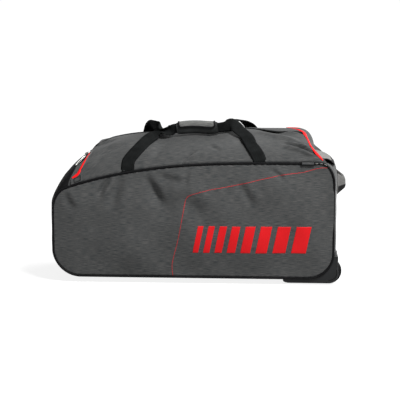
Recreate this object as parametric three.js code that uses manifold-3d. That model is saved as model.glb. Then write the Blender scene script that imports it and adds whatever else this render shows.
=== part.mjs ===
// Wheeled duffel bag: a soft hollow bag of cloth panels with a domed zipped top, webbing carry straps
// and two wheels in moulded corner housings. It stands on its belly and its wheels.
// Millimetres, +Z up, +X towards the wheels, -Y towards the front panel, floor at z = 0.
import * as THREE from 'three';
import { mergeVertices } from 'three/addons/utils/BufferGeometryUtils.js';
import Module from 'manifold-3d';

// Cloth and gaps
const CLOTH = 2.5;
const GAP = 0.3;
const SEAM_GAP = 0.5;

// Body box
const BODY_LEFT = -413;
const BODY_RIGHT = 392;
const PANEL_PLANE = 180;
const PIPING_RADIUS = 2.8;
const GUSSET_HALF = PANEL_PLANE - PIPING_RADIUS - GAP;
const LEFT_BULGE = 17.5;
const RIGHT_BULGE = 12;
const PANEL_BULGE = 12;

// Base: raised at the edges, sagging to the floor along the middle, held up near the wheels
const BASE_EDGE = 20;
const BELLY_FLAT = 0.25;
const BELLY_CURVE = 1.6;
const BELLY_FULL_TO = 140;
const BELLY_FADED_FROM = 290;
const BELLY_AT_WHEELS = 6;
const LOW_LEFT_RADIUS = 80;
const LOW_RIGHT_RADIUS = 74;

// Front seam: level on the right, falling away to the left
const SEAM_TOP = 349;
const SEAM_DROP = 74.6;
const SEAM_LEVEL_FROM = 250;
const SEAM_DROP_RUN = 626.8;
const SEAM_DROP_POWER = 2.85;

// Dome over the seams, and the shoulders at its ends (edge values at the panels, middle values on the ridge)
const DOME_RISE = 90;
const DOME_SWELL = { height: 11, full: -240, none: -40 };
const DOME_END = { middle: 340, spread: 34, power: 8, rounding: 70, roundness: 3 };
const DOME_STEP = { height: 25, before: 2, after: 30 };
const LEFT_SHOULDER = { edgeRun: 38, middleRun: 110, edgeFall: 48, middleFall: 88, power: 2.2 };
const RIGHT_SHOULDER = { edgeRun: 38, middleRun: 24, edgeFall: 60, middleFall: 40 };

// Trims and zips on the dome
const TRIM_LEFT = { edge: -356, middle: -324 };
const TRIM_RIGHT = { tongue: 34, tongueAngle: 20.3 };
const TRIM_RIGHT_INSETS = [
  { angle: 0, inset: 50 },
  { angle: 20.3, inset: 34 },
  { angle: 38, inset: 21.7 },
  { angle: 54, inset: 18.2 },
  { angle: 69, inset: 19 },
  { angle: 82, inset: 14 },
  { angle: 90, inset: 14 },
];
const TRIM_HALF_WIDTH = 3.2;
const TRIM_GAP = 0.9;
const TRIM_PROUD = 1.5;
const ZIP_ANGLE = 22;
const ZIP_HALF_ANGLE = 1.7;
const ZIP_PROUD = 0.8;
const ZIP_BEND = { leftFrom: 0.03, leftTo: 0.13, rightFrom: 0.7, rightTo: 0.9 };

// Webbing and grip
const WEBBING = { width: 38, gathered: 27, thickness: 2.4, between: 8 };
const GRIP = { angle: -27, lift: 22.6, levelling: 0.05, length: 118, halfHeight: 19, halfDepth: 13 };
const GRIP_HOLLOW = { halfHeight: 15.5, halfDepth: 7 };

// Wheels
const WHEEL = { x: 380, y: 140, radius: 37, width: 22, pinRadius: 4 };
const HUB = { radius: 24, width: 17, boreRadius: 4.4, bossRadius: 10, rimRadius: 20, webDepth: 5 };
const WELL = { radius: 40.5, width: 28, wall: 3 };
const HOUSING = { outer: 176, inner: 112, right: 406, top: 87, tip: 249, bottom: 5, cheekRadius: 27 };

const DEG = Math.PI / 180;
const { lerp, clamp, smoothstep } = THREE.MathUtils;

const CLOTHS = {
  heather: { color: 0x56565a, roughness: 0.92, metalness: 0 },
  black: { color: 0x1c1c1f, roughness: 0.85, metalness: 0 },
  webbing: { color: 0x151517, roughness: 0.75, metalness: 0 },
  red: { color: 0xb02a2c, roughness: 0.6, metalness: 0 },
  moulded: { color: 0x2c2d30, roughness: 0.5, metalness: 0 },
  rubber: { color: 0x161617, roughness: 0.7, metalness: 0 },
  metal: { color: 0xb4b7ba, roughness: 0.3, metalness: 1 },
};

const bag = new THREE.Group();

function addPiece(name, geometry, finish) {
  const mesh = new THREE.Mesh(geometry, new THREE.MeshStandardMaterial(CLOTHS[finish]));
  mesh.name = name;
  bag.add(mesh);
}

// Number lists

function spread(from, to, steps) {
  return Array.from({ length: steps + 1 }, (_, i) => lerp(from, to, i / steps));
}

// One column of a table of rows, read smoothly at a place between 0 (first row) and 1 (last row).
function columnAt(rows, name, place) {
  const at = place * (rows.length - 1);
  const row = Math.min(Math.floor(at), rows.length - 2);
  const value = (i) => rows[clamp(i, 0, rows.length - 1)][name];
  const [before, from, to, after] = [value(row - 1), value(row), value(row + 1), value(row + 2)];
  const t = at - row;
  const square = 2 * before - 5 * from + 4 * to - after;
  const cube = 3 * from - before - 3 * to + after;
  return from + 0.5 * ((to - before) * t + square * t ** 2 + cube * t ** 3);
}

// The bag's outer surface. The angle phi goes round the gusset: -90 degrees at the front panel, 0 on the
// ridge, 90 at the back panel, so y = GUSSET_HALF * sin(phi) and the crown is cos(phi).

const crownAt = (phi) => Math.max(0, Math.cos(phi));
const depthAt = (phi) => GUSSET_HALF * Math.sin(phi);
const leftWall = (phi) => BODY_LEFT - LEFT_BULGE * crownAt(phi);
const rightWall = (phi) => BODY_RIGHT + RIGHT_BULGE * crownAt(phi);

function seamHeight(x) {
  const run = Math.max(0, (SEAM_LEVEL_FROM - x) / SEAM_DROP_RUN);
  return SEAM_TOP - SEAM_DROP * run ** SEAM_DROP_POWER;
}

function bellyHeight(x, phi) {
  const side = Math.abs(Math.sin(phi));
  const lifted = clamp((side - BELLY_FLAT) / (1 - BELLY_FLAT), 0, 1) ** BELLY_CURVE;
  const sag = lerp(BASE_EDGE, BELLY_AT_WHEELS, smoothstep(x, BELLY_FULL_TO, BELLY_FADED_FROM));
  return BASE_EDGE - sag * (1 - lifted);
}

// The fall of a quarter of an ellipse, from 0 where t is 0 to its whole height where t is 1.
function roundedFall(t, fall) {
  return fall * (1 - Math.sqrt(1 - clamp(t, 0, 1) ** 2));
}

// The lower body's top: the seam line carried across, with its rounded right end.
function shelfHeight(x, phi) {
  const run = lerp(RIGHT_SHOULDER.edgeRun, RIGHT_SHOULDER.middleRun, crownAt(phi));
  const fall = lerp(RIGHT_SHOULDER.edgeFall, RIGHT_SHOULDER.middleFall, crownAt(phi));
  return seamHeight(x) - roundedFall((x - rightWall(phi) + run) / run, fall);
}

function domeEnd(phi) {
  return DOME_END.middle + DOME_END.spread * Math.abs(Math.sin(phi)) ** DOME_END.power;
}

// Dips of the stuffed top, each a smooth hollow about x and y.
const TOP_DIPS = [
  { x: -95, y: -105, alongX: 55, alongY: 60, depth: 6 },
  { x: 35, y: -120, alongX: 30, alongY: 45, depth: 6 },
  { x: 215, y: -110, alongX: 60, alongY: 50, depth: 5 },
  { x: 318, y: -120, alongX: 28, alongY: 45, depth: 6 },
  { x: -60, y: 115, alongX: 80, alongY: 50, depth: 6 },
  { x: 180, y: 110, alongX: 70, alongY: 50, depth: 5 },
];

function dipDepth(x, y) {
  return TOP_DIPS.reduce((total, dip) => {
    const across = ((x - dip.x) / dip.alongX) ** 2 + ((y - dip.y) / dip.alongY) ** 2;
    return total + dip.depth * Math.exp(-across);
  }, 0);
}

// The fall at the left end: a step down beside the trim, then the shoulder to the end wall.
function leftFall(x, phi) {
  const crown = crownAt(phi);
  const trim = trimLeft(phi);
  const risen = smoothstep(x, trim - DOME_STEP.before, trim + DOME_STEP.after);
  const step = DOME_STEP.height * crown * (1 - risen);
  const run = lerp(LEFT_SHOULDER.edgeRun, LEFT_SHOULDER.middleRun, crown);
  const fall = lerp(LEFT_SHOULDER.edgeFall, LEFT_SHOULDER.middleFall, crown);
  const along = clamp((leftWall(phi) + run - x) / run, 0, 1);
  return step + lerp(roundedFall(along, fall), fall * along ** LEFT_SHOULDER.power, crown);
}

function topHeight(x, phi) {
  const crown = crownAt(phi);
  const along = clamp((x - domeEnd(phi) + DOME_END.rounding) / DOME_END.rounding, 0, 1);
  const end = (1 - along ** DOME_END.roundness) ** (1 / DOME_END.roundness);
  const rise = DOME_RISE + DOME_SWELL.height * (1 - smoothstep(x, DOME_SWELL.full, DOME_SWELL.none));
  const dome = rise * crown * end;
  return shelfHeight(x, phi) + dome - leftFall(x, phi) - crown * dipDepth(x, depthAt(phi));
}

const topPoint = (x, phi) => new THREE.Vector3(x, depthAt(phi), topHeight(x, phi));

const trimLeft = (phi) => lerp(TRIM_LEFT.edge, TRIM_LEFT.middle, crownAt(phi));

// The right trim keeps behind the dome's end by the table's inset, read in straight steps between its rows,
// and reaches a tongue forward along the ridge.
function trimRight(phi) {
  const angle = Math.min(Math.abs(phi) / DEG, 90);
  const above = TRIM_RIGHT_INSETS.findIndex((row, i) => i > 0 && row.angle >= angle - 1e-9);
  const [from, to] = [TRIM_RIGHT_INSETS[above - 1], TRIM_RIGHT_INSETS[above]];
  const inset = lerp(from.inset, to.inset, (angle - from.angle) / (to.angle - from.angle));
  const towardsRidge = Math.max(0, 1 - angle / TRIM_RIGHT.tongueAngle);
  return domeEnd(phi) - inset - TRIM_RIGHT.tongue * towardsRidge;
}

// Solids from points

// A closed body from rows of points on two faces: the outer face, the inner one and the rim between them.
function bodyBetween(outer, inner) {
  const rows = outer.length;
  const columns = outer[0].length;
  const positions = [...outer.flat(), ...inner.flat()].flatMap((p) => [p.x, p.y, p.z]);
  const outerAt = (i, j) => i * columns + j;
  const innerAt = (i, j) => rows * columns + i * columns + j;
  const triangles = [];
  const quad = (a, b, c, d) => triangles.push(a, b, c, a, c, d);
  for (let i = 0; i < rows - 1; i += 1) {
    for (let j = 0; j < columns - 1; j += 1) {
      quad(outerAt(i, j), outerAt(i + 1, j), outerAt(i + 1, j + 1), outerAt(i, j + 1));
      quad(innerAt(i, j), innerAt(i, j + 1), innerAt(i + 1, j + 1), innerAt(i + 1, j));
    }
    quad(outerAt(i, 0), innerAt(i, 0), innerAt(i + 1, 0), outerAt(i + 1, 0));
    const j = columns - 1;
    quad(outerAt(i, j), outerAt(i + 1, j), innerAt(i + 1, j), innerAt(i, j));
  }
  for (let j = 0; j < columns - 1; j += 1) {
    quad(outerAt(0, j), outerAt(0, j + 1), innerAt(0, j + 1), innerAt(0, j));
    quad(outerAt(rows - 1, j), innerAt(rows - 1, j), innerAt(rows - 1, j + 1), outerAt(rows - 1, j + 1));
  }
  return facingOut(positions, triangles);
}

// A geometry of those triangles, turned over if they enclose a negative volume.
function facingOut(positions, triangles) {
  const corner = (i) => new THREE.Vector3().fromArray(positions, 3 * i);
  let volume = 0;
  for (let t = 0; t < triangles.length; t += 3) {
    volume += corner(triangles[t]).dot(corner(triangles[t + 1]).cross(corner(triangles[t + 2])));
  }
  const geometry = new THREE.BufferGeometry();
  geometry.setAttribute('position', new THREE.Float32BufferAttribute(positions, 3));
  geometry.setIndex(volume > 0 ? triangles : triangles.reverse());
  geometry.computeVertexNormals();
  return geometry;
}

const BODY_MIDDLE = new THREE.Vector3(-10, 0, 190);

// The outward unit normal of a surface, from points a small step away inside its range.
function normalAt(point, a, b, aRange, bRange) {
  const step = 1e-3;
  const near = (value, range) => [Math.max(value - step, range[0]), Math.min(value + step, range.at(-1))];
  const [a0, a1] = near(a, aRange);
  const [b0, b1] = near(b, bRange);
  const alongA = point(a1, b).sub(point(a0, b));
  const alongB = point(a, b1).sub(point(a, b0));
  const normal = alongA.cross(alongB).normalize();
  const fromMiddle = point(a, b).sub(BODY_MIDDLE);
  return normal.dot(fromMiddle) < 0 ? normal.negate() : normal;
}

// A cloth wall: its outer face stands proud of point(a, b) and its inner face lies a thickness inside that.
function clothWall(point, aValues, bValues, { thickness = CLOTH, proud = 0 } = {}) {
  const face = (offset) => aValues.map((a) => bValues.map((b) => {
    return point(a, b).addScaledVector(normalAt(point, a, b, aValues, bValues), offset);
  }));
  return bodyBetween(face(proud), face(proud - thickness));
}

// A closed body from rings of points, each ring joined to the next and either capped or closed on itself.
function ringLoft(rings, closed) {
  const sides = rings[0].length;
  const positions = rings.flat().flatMap((p) => [p.x, p.y, p.z]);
  const triangles = [];
  const last = closed ? rings.length : rings.length - 1;
  for (let i = 0; i < last; i += 1) {
    const next = (i + 1) % rings.length;
    for (let k = 0; k < sides; k += 1) {
      const side = (k + 1) % sides;
      const [a, b, c, d] = [i * sides + k, next * sides + k, next * sides + side, i * sides + side];
      triangles.push(a, b, c, a, c, d);
    }
  }
  for (let k = 1; k < sides - 1 && !closed; k += 1) {
    const end = (rings.length - 1) * sides;
    triangles.push(0, k, k + 1, end, end + k + 1, end + k);
  }
  return facingOut(positions, triangles);
}

// A ring of points on an ellipse or, with a power above 2, on a rounded rectangle.
function roundedRing(centre, across, up, halfAcross, halfUp, sides, power = 2) {
  return spread(0, 2 * Math.PI, sides).slice(0, sides).map((angle) => {
    const reach = (value) => Math.sign(value) * Math.abs(value) ** (2 / power);
    return centre.clone()
      .addScaledVector(across, halfAcross * reach(Math.cos(angle)))
      .addScaledVector(up, halfUp * reach(Math.sin(angle)));
  });
}

const wasm = await Module();
wasm.setup();

function solidOf(geometry) {
  const plain = geometry.clone();
  plain.deleteAttribute('normal');
  plain.deleteAttribute('uv');
  const merged = mergeVertices(plain, 1e-4);
  const vertProperties = new Float32Array(merged.attributes.position.array);
  const triVerts = new Uint32Array(merged.index.array);
  return new wasm.Manifold(new wasm.Mesh({ numProp: 3, vertProperties, triVerts }));
}

function geometryOf(solid) {
  const mesh = solid.getMesh();
  const geometry = new THREE.BufferGeometry();
  geometry.setAttribute('position', new THREE.BufferAttribute(mesh.vertProperties, 3));
  geometry.setIndex(new THREE.BufferAttribute(mesh.triVerts, 1));
  geometry.computeVertexNormals();
  return geometry;
}

// The base line of a slice between its two end walls: a column from 0 to 3 runs along the left corner, the
// long middle and the right corner, one unit each. Gives x and how far the corner has lifted off the base.
function baseLine(column, left, right, inset) {
  const angle = (column < 1 ? column : 3 - column) * 90 * DEG;
  const leftRadius = LOW_LEFT_RADIUS - inset;
  const rightRadius = LOW_RIGHT_RADIUS - inset;
  if (column < 1) {
    return { x: left + leftRadius * (1 - Math.cos(angle)), lift: leftRadius * (1 - Math.sin(angle)) };
  }
  if (column > 2) {
    return { x: right - rightRadius * (1 - Math.cos(angle)), lift: rightRadius * (1 - Math.sin(angle)) };
  }
  return { x: lerp(left + leftRadius, right - rightRadius, column - 1), lift: 0 };
}

const CORNER_STEPS = 6;
const MIDDLE_STEPS = 12;
const COLUMNS = [
  ...spread(0, 1, CORNER_STEPS),
  ...spread(1, 2, MIDDLE_STEPS).slice(1),
  ...spread(2, 3, CORNER_STEPS).slice(1),
];

// Front and back panels: swollen between their edges, with the folds that run across them.

const PANEL_ROWS = spread(0, 1, 8);
const PANEL_INSET = PIPING_RADIUS + SEAM_GAP + GAP;
const PANEL_FOLDS = [
  { x: -254, z: 285, angle: 56, length: 45, width: 18, depth: 5 },
  { x: -215, z: 265, angle: 68, length: 50, width: 22, depth: 3 },
  { x: -118, z: 278, angle: -65, length: 48, width: 20, depth: 5 },
  { x: -364, z: 250, angle: -50, length: 30, width: 18, depth: 4 },
  { x: 146, z: 263, angle: -48, length: 40, width: 22, depth: 4 },
];

function foldDepth(x, z) {
  return PANEL_FOLDS.reduce((total, fold) => {
    const turn = fold.angle * DEG;
    const along = (x - fold.x) * Math.cos(turn) + (z - fold.z) * Math.sin(turn);
    const across = (z - fold.z) * Math.cos(turn) - (x - fold.x) * Math.sin(turn);
    return total + fold.depth * Math.exp(-((along / fold.length) ** 2) - (across / fold.width) ** 2);
  }, 0);
}

function panelColumn(column, inset) {
  const left = BODY_LEFT + inset;
  const right = BODY_RIGHT - inset;
  const { x, lift } = baseLine(column, left, right, inset);
  const leftRun = LEFT_SHOULDER.edgeRun - inset;
  const rightRun = RIGHT_SHOULDER.edgeRun - inset;
  const high = seamHeight(x) - inset
    - roundedFall((left + leftRun - x) / leftRun, LEFT_SHOULDER.edgeFall - inset)
    - roundedFall((x - right + rightRun) / rightRun, RIGHT_SHOULDER.edgeFall - inset);
  return { x, low: BASE_EDGE + inset + lift, high };
}

// A panel on one side: -1 is the front, 1 the back.
function sidePanel(side) {
  const middle = (BODY_LEFT + BODY_RIGHT) / 2;
  const halfLength = (BODY_RIGHT - BODY_LEFT) / 2;
  const face = (offset) => COLUMNS.map((column) => PANEL_ROWS.map((row) => {
    const { x, low, high } = panelColumn(column, PANEL_INSET);
    const z = lerp(low, high, row);
    const swell = PANEL_BULGE * (1 - ((x - middle) / halfLength) ** 4) * (1 - (2 * row - 1) ** 4);
    const edge = 1 - (2 * row - 1) ** 8;
    return new THREE.Vector3(x, side * (PANEL_PLANE + swell - edge * foldDepth(x, z) - offset), z);
  }));
  return bodyBetween(face(0), face(CLOTH));
}

// Cord piping along the panel's outline, made with the panel's own columns and rows.
function sidePiping(side) {
  const ends = { left: panelColumn(0, 0), right: panelColumn(3, 0) };
  const columns = COLUMNS.map((column) => panelColumn(column, 0));
  const innerRows = PANEL_ROWS.slice(1, -1);
  const outline = [
    ...columns.map(({ x, low }) => [x, low]),
    ...innerRows.map((row) => [ends.right.x, lerp(ends.right.low, ends.right.high, row)]),
    ...columns.map(({ x, high }) => [x, high]).reverse(),
    ...innerRows.map((row) => [ends.left.x, lerp(ends.left.high, ends.left.low, row)]),
  ];
  const towardsPanel = new THREE.Vector3(0, side, 0);
  const rings = outline.map(([x, z], i) => {
    const before = outline.at(i - 1);
    const after = outline[(i + 1) % outline.length];
    const outward = new THREE.Vector3(after[1] - before[1], 0, before[0] - after[0]).normalize();
    const centre = new THREE.Vector3(x, side * PANEL_PLANE, z);
    return roundedRing(centre, outward, towardsPanel, PIPING_RADIUS, PIPING_RADIUS, 5);
  });
  return ringLoft(rings, true);
}

addPiece('front_panel', sidePanel(-1), 'heather');
addPiece('back_panel', sidePanel(1), 'heather');
addPiece('piping_front', sidePiping(-1), 'black');
addPiece('piping_back', sidePiping(1), 'black');

// Gusset: the end walls, the caps over them, and the domed top between the trims.

const easedIn = (a) => 1 - Math.cos(a * 90 * DEG);
const mirrored = (angles, ...middle) => {
  return [...angles.map((angle) => -angle), ...middle, ...angles.toReversed()].map((angle) => angle * DEG);
};

function leftEndPoint(a, phi) {
  const x = leftWall(phi);
  const foot = bellyHeight(x, phi) + LOW_LEFT_RADIUS + GAP;
  return new THREE.Vector3(x, depthAt(phi), lerp(foot, topHeight(x, phi) - GAP - SEAM_GAP, a));
}

function leftCapPoint(a, phi) {
  const run = trimLeft(phi) - TRIM_HALF_WIDTH - TRIM_GAP - leftWall(phi);
  return topPoint(leftWall(phi) + run * easedIn(a), phi);
}

// The right end: up the wall for the first unit, then over the corner and along the shelf to the dome's foot.
function rightEndPoint(a, phi) {
  const wall = rightWall(phi);
  const foot = bellyHeight(wall, phi) + LOW_RIGHT_RADIUS + GAP;
  const over = easedIn(Math.max(0, a - 1));
  const x = wall - (wall - domeEnd(phi) - SEAM_GAP) * over;
  const z = a < 1 ? lerp(foot, shelfHeight(wall, phi), a) : shelfHeight(x, phi) - 2 * SEAM_GAP * over;
  return new THREE.Vector3(x, depthAt(phi), z);
}

function rightCapPoint(a, phi) {
  const run = domeEnd(phi) - trimRight(phi) - TRIM_HALF_WIDTH - TRIM_GAP;
  return topPoint(domeEnd(phi) - run * easedIn(a), phi);
}

// The front zip bends back to the ridge along the middle of the bag, and takes the cloth beside it along.
function bentWithZip(a, phi) {
  const { leftFrom, leftTo, rightFrom, rightTo } = ZIP_BEND;
  const back = smoothstep(a, leftFrom, leftTo) * (1 - smoothstep(a, rightFrom, rightTo));
  const shift = ZIP_ANGLE * DEG * back;
  const [outer, inner] = [(ZIP_ANGLE + ZIP_HALF_ANGLE) * DEG, (ZIP_ANGLE - ZIP_HALF_ANGLE) * DEG];
  if (phi < -outer) return phi + shift * (phi + 90 * DEG) / (90 * DEG - outer);
  if (phi <= -inner) return phi + shift;
  return phi < inner ? phi + shift * (inner - phi) / (2 * inner) : phi;
}

function betweenTrims(a, turn) {
  const phi = bentWithZip(a, turn);
  const from = trimLeft(phi) + TRIM_HALF_WIDTH + TRIM_GAP;
  const to = trimRight(phi) - TRIM_HALF_WIDTH - TRIM_GAP;
  return topPoint(lerp(from, to, a), phi);
}

const acrossTrim = (trim) => (a, phi) => topPoint(trim(phi) + a * TRIM_HALF_WIDTH, phi);

// The angles round the gusset at which every piece has a row of points, so that neighbours share their seams.
const ZIP_SEAM = SEAM_GAP / GUSSET_HALF / DEG;
const ZIP_INNER = ZIP_ANGLE - ZIP_HALF_ANGLE;
const ZIP_OUTER = ZIP_ANGLE + ZIP_HALF_ANGLE;
const SIDE_TURN = [82, 69, 54, 38];
const PIPING_CLEAR = 86;
const TOP_TURN = mirrored([90, ...SIDE_TURN, ZIP_OUTER, ZIP_INNER], 0);
const TRIM_TURN = mirrored([PIPING_CLEAR, ...SIDE_TURN, ZIP_OUTER, ZIP_INNER], 0);
const LID_TURN = mirrored([ZIP_INNER - ZIP_SEAM], 0);
const BASE_TURN = mirrored([90, 70, 53, 33, Math.asin(BELLY_FLAT) / DEG]);

const TOP_STEPS = spread(0, 1, 18);
const TRIM_SIZES = { thickness: CLOTH + TRIM_PROUD, proud: TRIM_PROUD };
const ZIP_SIZES = { thickness: CLOTH + ZIP_PROUD, proud: ZIP_PROUD };

addPiece('left_end_panel', clothWall(leftEndPoint, spread(0, 1, 4), BASE_TURN), 'black');
addPiece('left_cap', clothWall(leftCapPoint, spread(0, 1, 6), TOP_TURN), 'black');
addPiece('right_end_panel', clothWall(rightEndPoint, spread(0, 2, 8), BASE_TURN), 'heather');
addPiece('right_cap', clothWall(rightCapPoint, spread(0, 1, 4), TOP_TURN), 'heather');
addPiece('trim_left', clothWall(acrossTrim(trimLeft), [-1, 1], TRIM_TURN, TRIM_SIZES), 'red');
addPiece('trim_right', clothWall(acrossTrim(trimRight), [-1, 1], TRIM_TURN, TRIM_SIZES), 'red');
addPiece('lid_panel', clothWall(betweenTrims, TOP_STEPS, LID_TURN), 'heather');
for (const [name, side] of [['front', -1], ['back', 1]]) {
  const onSide = (angles) => angles.map((angle) => side * angle * DEG).sort((a, b) => a - b);
  const panelTurn = onSide([90, ...SIDE_TURN, ZIP_OUTER + ZIP_SEAM]);
  const zipTurn = onSide([ZIP_OUTER, ZIP_INNER]);
  addPiece(`top_${name}_panel`, clothWall(betweenTrims, TOP_STEPS, panelTurn), 'heather');
  addPiece(`zip_${name}`, clothWall(betweenTrims, TOP_STEPS, zipTurn, ZIP_SIZES), 'black');
}

// Base panel, with a round-ended hole for each wheel well.

function basePoint(column, phi) {
  const { x, lift } = baseLine(column, leftWall(phi), rightWall(phi), 0);
  return new THREE.Vector3(x, depthAt(phi), bellyHeight(x, phi) + lift);
}

// A cylinder across the bag about the wheel's axis, on one side.
function acrossBag(side, radius, from, to) {
  const cylinder = new THREE.CylinderGeometry(radius, radius, to - from, TURNED_STEPS);
  return solidOf(cylinder.translate(WHEEL.x, side * (from + to) / 2, WHEEL.radius));
}

const TURNED_STEPS = 20;
const wellFrom = WHEEL.y - WELL.width / 2;
const wellTo = WHEEL.y + WELL.width / 2;
const wellHole = (side) => {
  return acrossBag(side, WELL.radius + WELL.wall + GAP, wellFrom - WELL.wall - GAP, wellTo + WELL.wall + GAP);
};

const baseSolid = solidOf(clothWall(basePoint, COLUMNS, BASE_TURN));
addPiece('base_panel', geometryOf(baseSolid.subtract(wellHole(-1)).subtract(wellHole(1))), 'black');

// Wheel housings: a moulded guard round the low corner, cut to the bag, with a cup that holds the wheel.

const HOUSING_ROUNDING = 4;
const AXLE = { from: wellFrom - WELL.wall + GAP, to: HOUSING.outer - 8 };

function housingProfile() {
  const cheekHeight = HOUSING.bottom + HOUSING.cheekRadius;
  const profile = new THREE.Shape();
  profile.moveTo(HOUSING.tip, HOUSING.bottom + 30);
  profile.lineTo(HOUSING.tip, HOUSING.bottom + 8);
  profile.quadraticCurveTo(HOUSING.tip, HOUSING.bottom, HOUSING.tip + 22, HOUSING.bottom);
  profile.lineTo(WHEEL.x, HOUSING.bottom);
  profile.absarc(WHEEL.x, cheekHeight, HOUSING.cheekRadius, -90 * DEG, 15 * DEG, false);
  profile.lineTo(HOUSING.right, HOUSING.top - 8);
  profile.quadraticCurveTo(HOUSING.right, HOUSING.top, HOUSING.right - 8, HOUSING.top);
  profile.lineTo(WHEEL.x - 55, HOUSING.top);
  return profile;
}

// Everything above the base's outer face, so that the guard follows that face a gap below it.
function aboveBase() {
  const ceiling = 150;
  const outer = COLUMNS.map((column) => BASE_TURN.map((phi) => {
    return basePoint(column, phi).addScaledVector(normalAt(basePoint, column, phi, COLUMNS, BASE_TURN), GAP);
  }));
  const above = outer.map((row) => row.map((point) => point.clone().setZ(ceiling)));
  return solidOf(bodyBetween(outer, above));
}

function wheelHousing(side) {
  const length = HOUSING.outer - HOUSING.inner;
  const block = new THREE.ExtrudeGeometry(housingProfile(), {
    depth: length - 2 * HOUSING_ROUNDING,
    curveSegments: 5,
    bevelSegments: 1,
    bevelSize: HOUSING_ROUNDING,
    bevelThickness: HOUSING_ROUNDING,
    bevelOffset: -HOUSING_ROUNDING,
  });
  block.rotateX(90 * DEG);
  const middle = (length - 2 * HOUSING_ROUNDING) / 2;
  block.translate(0, middle + side * (HOUSING.outer + HOUSING.inner) / 2, 0);
  const whole = solidOf(block);
  const cupOutside = acrossBag(side, WELL.radius + WELL.wall, wellFrom - WELL.wall, wellTo + WELL.wall);
  const cup = cupOutside.intersect(whole);
  const pinHole = acrossBag(side, WHEEL.pinRadius + GAP, HOUSING.inner, AXLE.to + GAP);
  const wheelSpace = acrossBag(side, WELL.radius, wellFrom, wellTo);
  return geometryOf(whole.subtract(aboveBase()).add(cup).subtract(wheelSpace).subtract(pinHole));
}

// Wheels: a tyre with rounded shoulders on a hub with a recessed web, turning on a pin.

const halfTyre = WHEEL.width / 2;
const halfHub = HUB.width / 2;
const halfWeb = halfHub - HUB.webDepth;
const tyreSeat = HUB.radius + GAP;
const TYRE_PROFILE = [
  [tyreSeat, -halfTyre + 1], [WHEEL.radius - 4, -halfTyre], [WHEEL.radius - 1, -halfTyre + 3],
  [WHEEL.radius, -halfTyre + 7], [WHEEL.radius, halfTyre - 7], [WHEEL.radius - 1, halfTyre - 3],
  [WHEEL.radius - 4, halfTyre], [tyreSeat, halfTyre - 1],
];
const HUB_PROFILE = [
  [HUB.boreRadius, -halfHub], [HUB.bossRadius, -halfHub], [HUB.bossRadius + 2, -halfWeb],
  [HUB.rimRadius, -halfWeb], [HUB.radius, -halfHub], [HUB.radius, halfHub], [HUB.rimRadius, halfWeb],
  [HUB.bossRadius + 2, halfWeb], [HUB.bossRadius, halfHub], [HUB.boreRadius, halfHub],
];

function turned(profile) {
  const closed = [...profile, profile[0]].map(([radius, along]) => new THREE.Vector2(radius, along));
  const lathe = new THREE.LatheGeometry(closed, TURNED_STEPS);
  lathe.deleteAttribute('normal');
  lathe.deleteAttribute('uv');
  const merged = mergeVertices(lathe);
  return facingOut([...merged.attributes.position.array], [...merged.index.array]);
}

for (const [name, side] of [['front', -1], ['back', 1]]) {
  addPiece(`wheel_housing_${name}`, wheelHousing(side), 'moulded');
  const pin = new THREE.CylinderGeometry(WHEEL.pinRadius, WHEEL.pinRadius, AXLE.to - AXLE.from, TURNED_STEPS);
  pin.translate(WHEEL.x, side * (AXLE.from + AXLE.to) / 2, WHEEL.radius);
  addPiece(`wheel_axle_${name}`, pin, 'metal');
  const centre = [WHEEL.x, side * WHEEL.y, WHEEL.radius];
  addPiece(`wheel_hub_${name}`, turned(HUB_PROFILE).translate(...centre), 'moulded');
  addPiece(`wheel_tyre_${name}`, turned(TYRE_PROFILE).translate(...centre), 'rubber');
}

// Places over the dome: a point lifted off the surface, with the surface's own normal.

function overTop(x, angle, lift) {
  const phi = angle * DEG;
  const normal = normalAt(topPoint, x, phi, [x - 1, x + 1], [-90 * DEG, 90 * DEG]);
  return { point: topPoint(x, phi).addScaledVector(normal, lift), normal };
}

// Carry straps: each row is a place on the dome, how far the webbing lifts off it, how far it turns on edge
// from lying flat, and its width. The legs lie on the dome and the middle runs inside the grip.

const { width: WIDE, gathered: NARROW } = WEBBING;
const LYING = 2.4;
const gripSplit = WEBBING.between / 2 / GUSSET_HALF / DEG;
const gripLift = (x) => GRIP.lift - GRIP.levelling * x;
const inGrip = (x, side) => {
  return { x, angle: GRIP.angle + side * gripSplit, lift: gripLift(x), turn: side * -90, width: NARROW };
};
const FRONT_STRAP = [
  { x: -195, angle: -86, lift: LYING, turn: 0, width: WIDE },
  { x: -194, angle: -73, lift: LYING, turn: 0, width: WIDE },
  { x: -182, angle: -63, lift: LYING, turn: 0, width: WIDE },
  { x: -170, angle: -54, lift: LYING, turn: 0, width: WIDE },
  { x: -158, angle: -42, lift: LYING, turn: 0, width: WIDE },
  { x: -148, angle: -31, lift: 4, turn: 0, width: WIDE },
  { x: -136, angle: -25, lift: 9, turn: 0, width: WIDE },
  { x: -118, angle: -24, lift: 14, turn: 10, width: 36 },
  { x: -98, angle: -26, lift: 19, turn: 32, width: 32 },
  { x: -80, angle: -27.8, lift: 25, turn: 75, width: 28 },
  inGrip(-66, -1),
  inGrip(-33, -1),
  inGrip(0, -1),
  inGrip(33, -1),
  inGrip(66, -1),
  { x: 86, angle: -28, lift: 22, turn: 84, width: 33 },
  { x: 104, angle: -28, lift: 24, turn: 55, width: WIDE },
  { x: 121, angle: -31, lift: 13, turn: 15, width: WIDE },
  { x: 139, angle: -39, lift: 4, turn: 0, width: WIDE },
  { x: 150, angle: -50, lift: LYING, turn: 0, width: WIDE },
  { x: 159, angle: -60, lift: LYING, turn: 0, width: WIDE },
  { x: 173, angle: -74, lift: LYING, turn: 0, width: WIDE },
  { x: 180, angle: -84, lift: LYING, turn: 0, width: WIDE },
];
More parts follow.
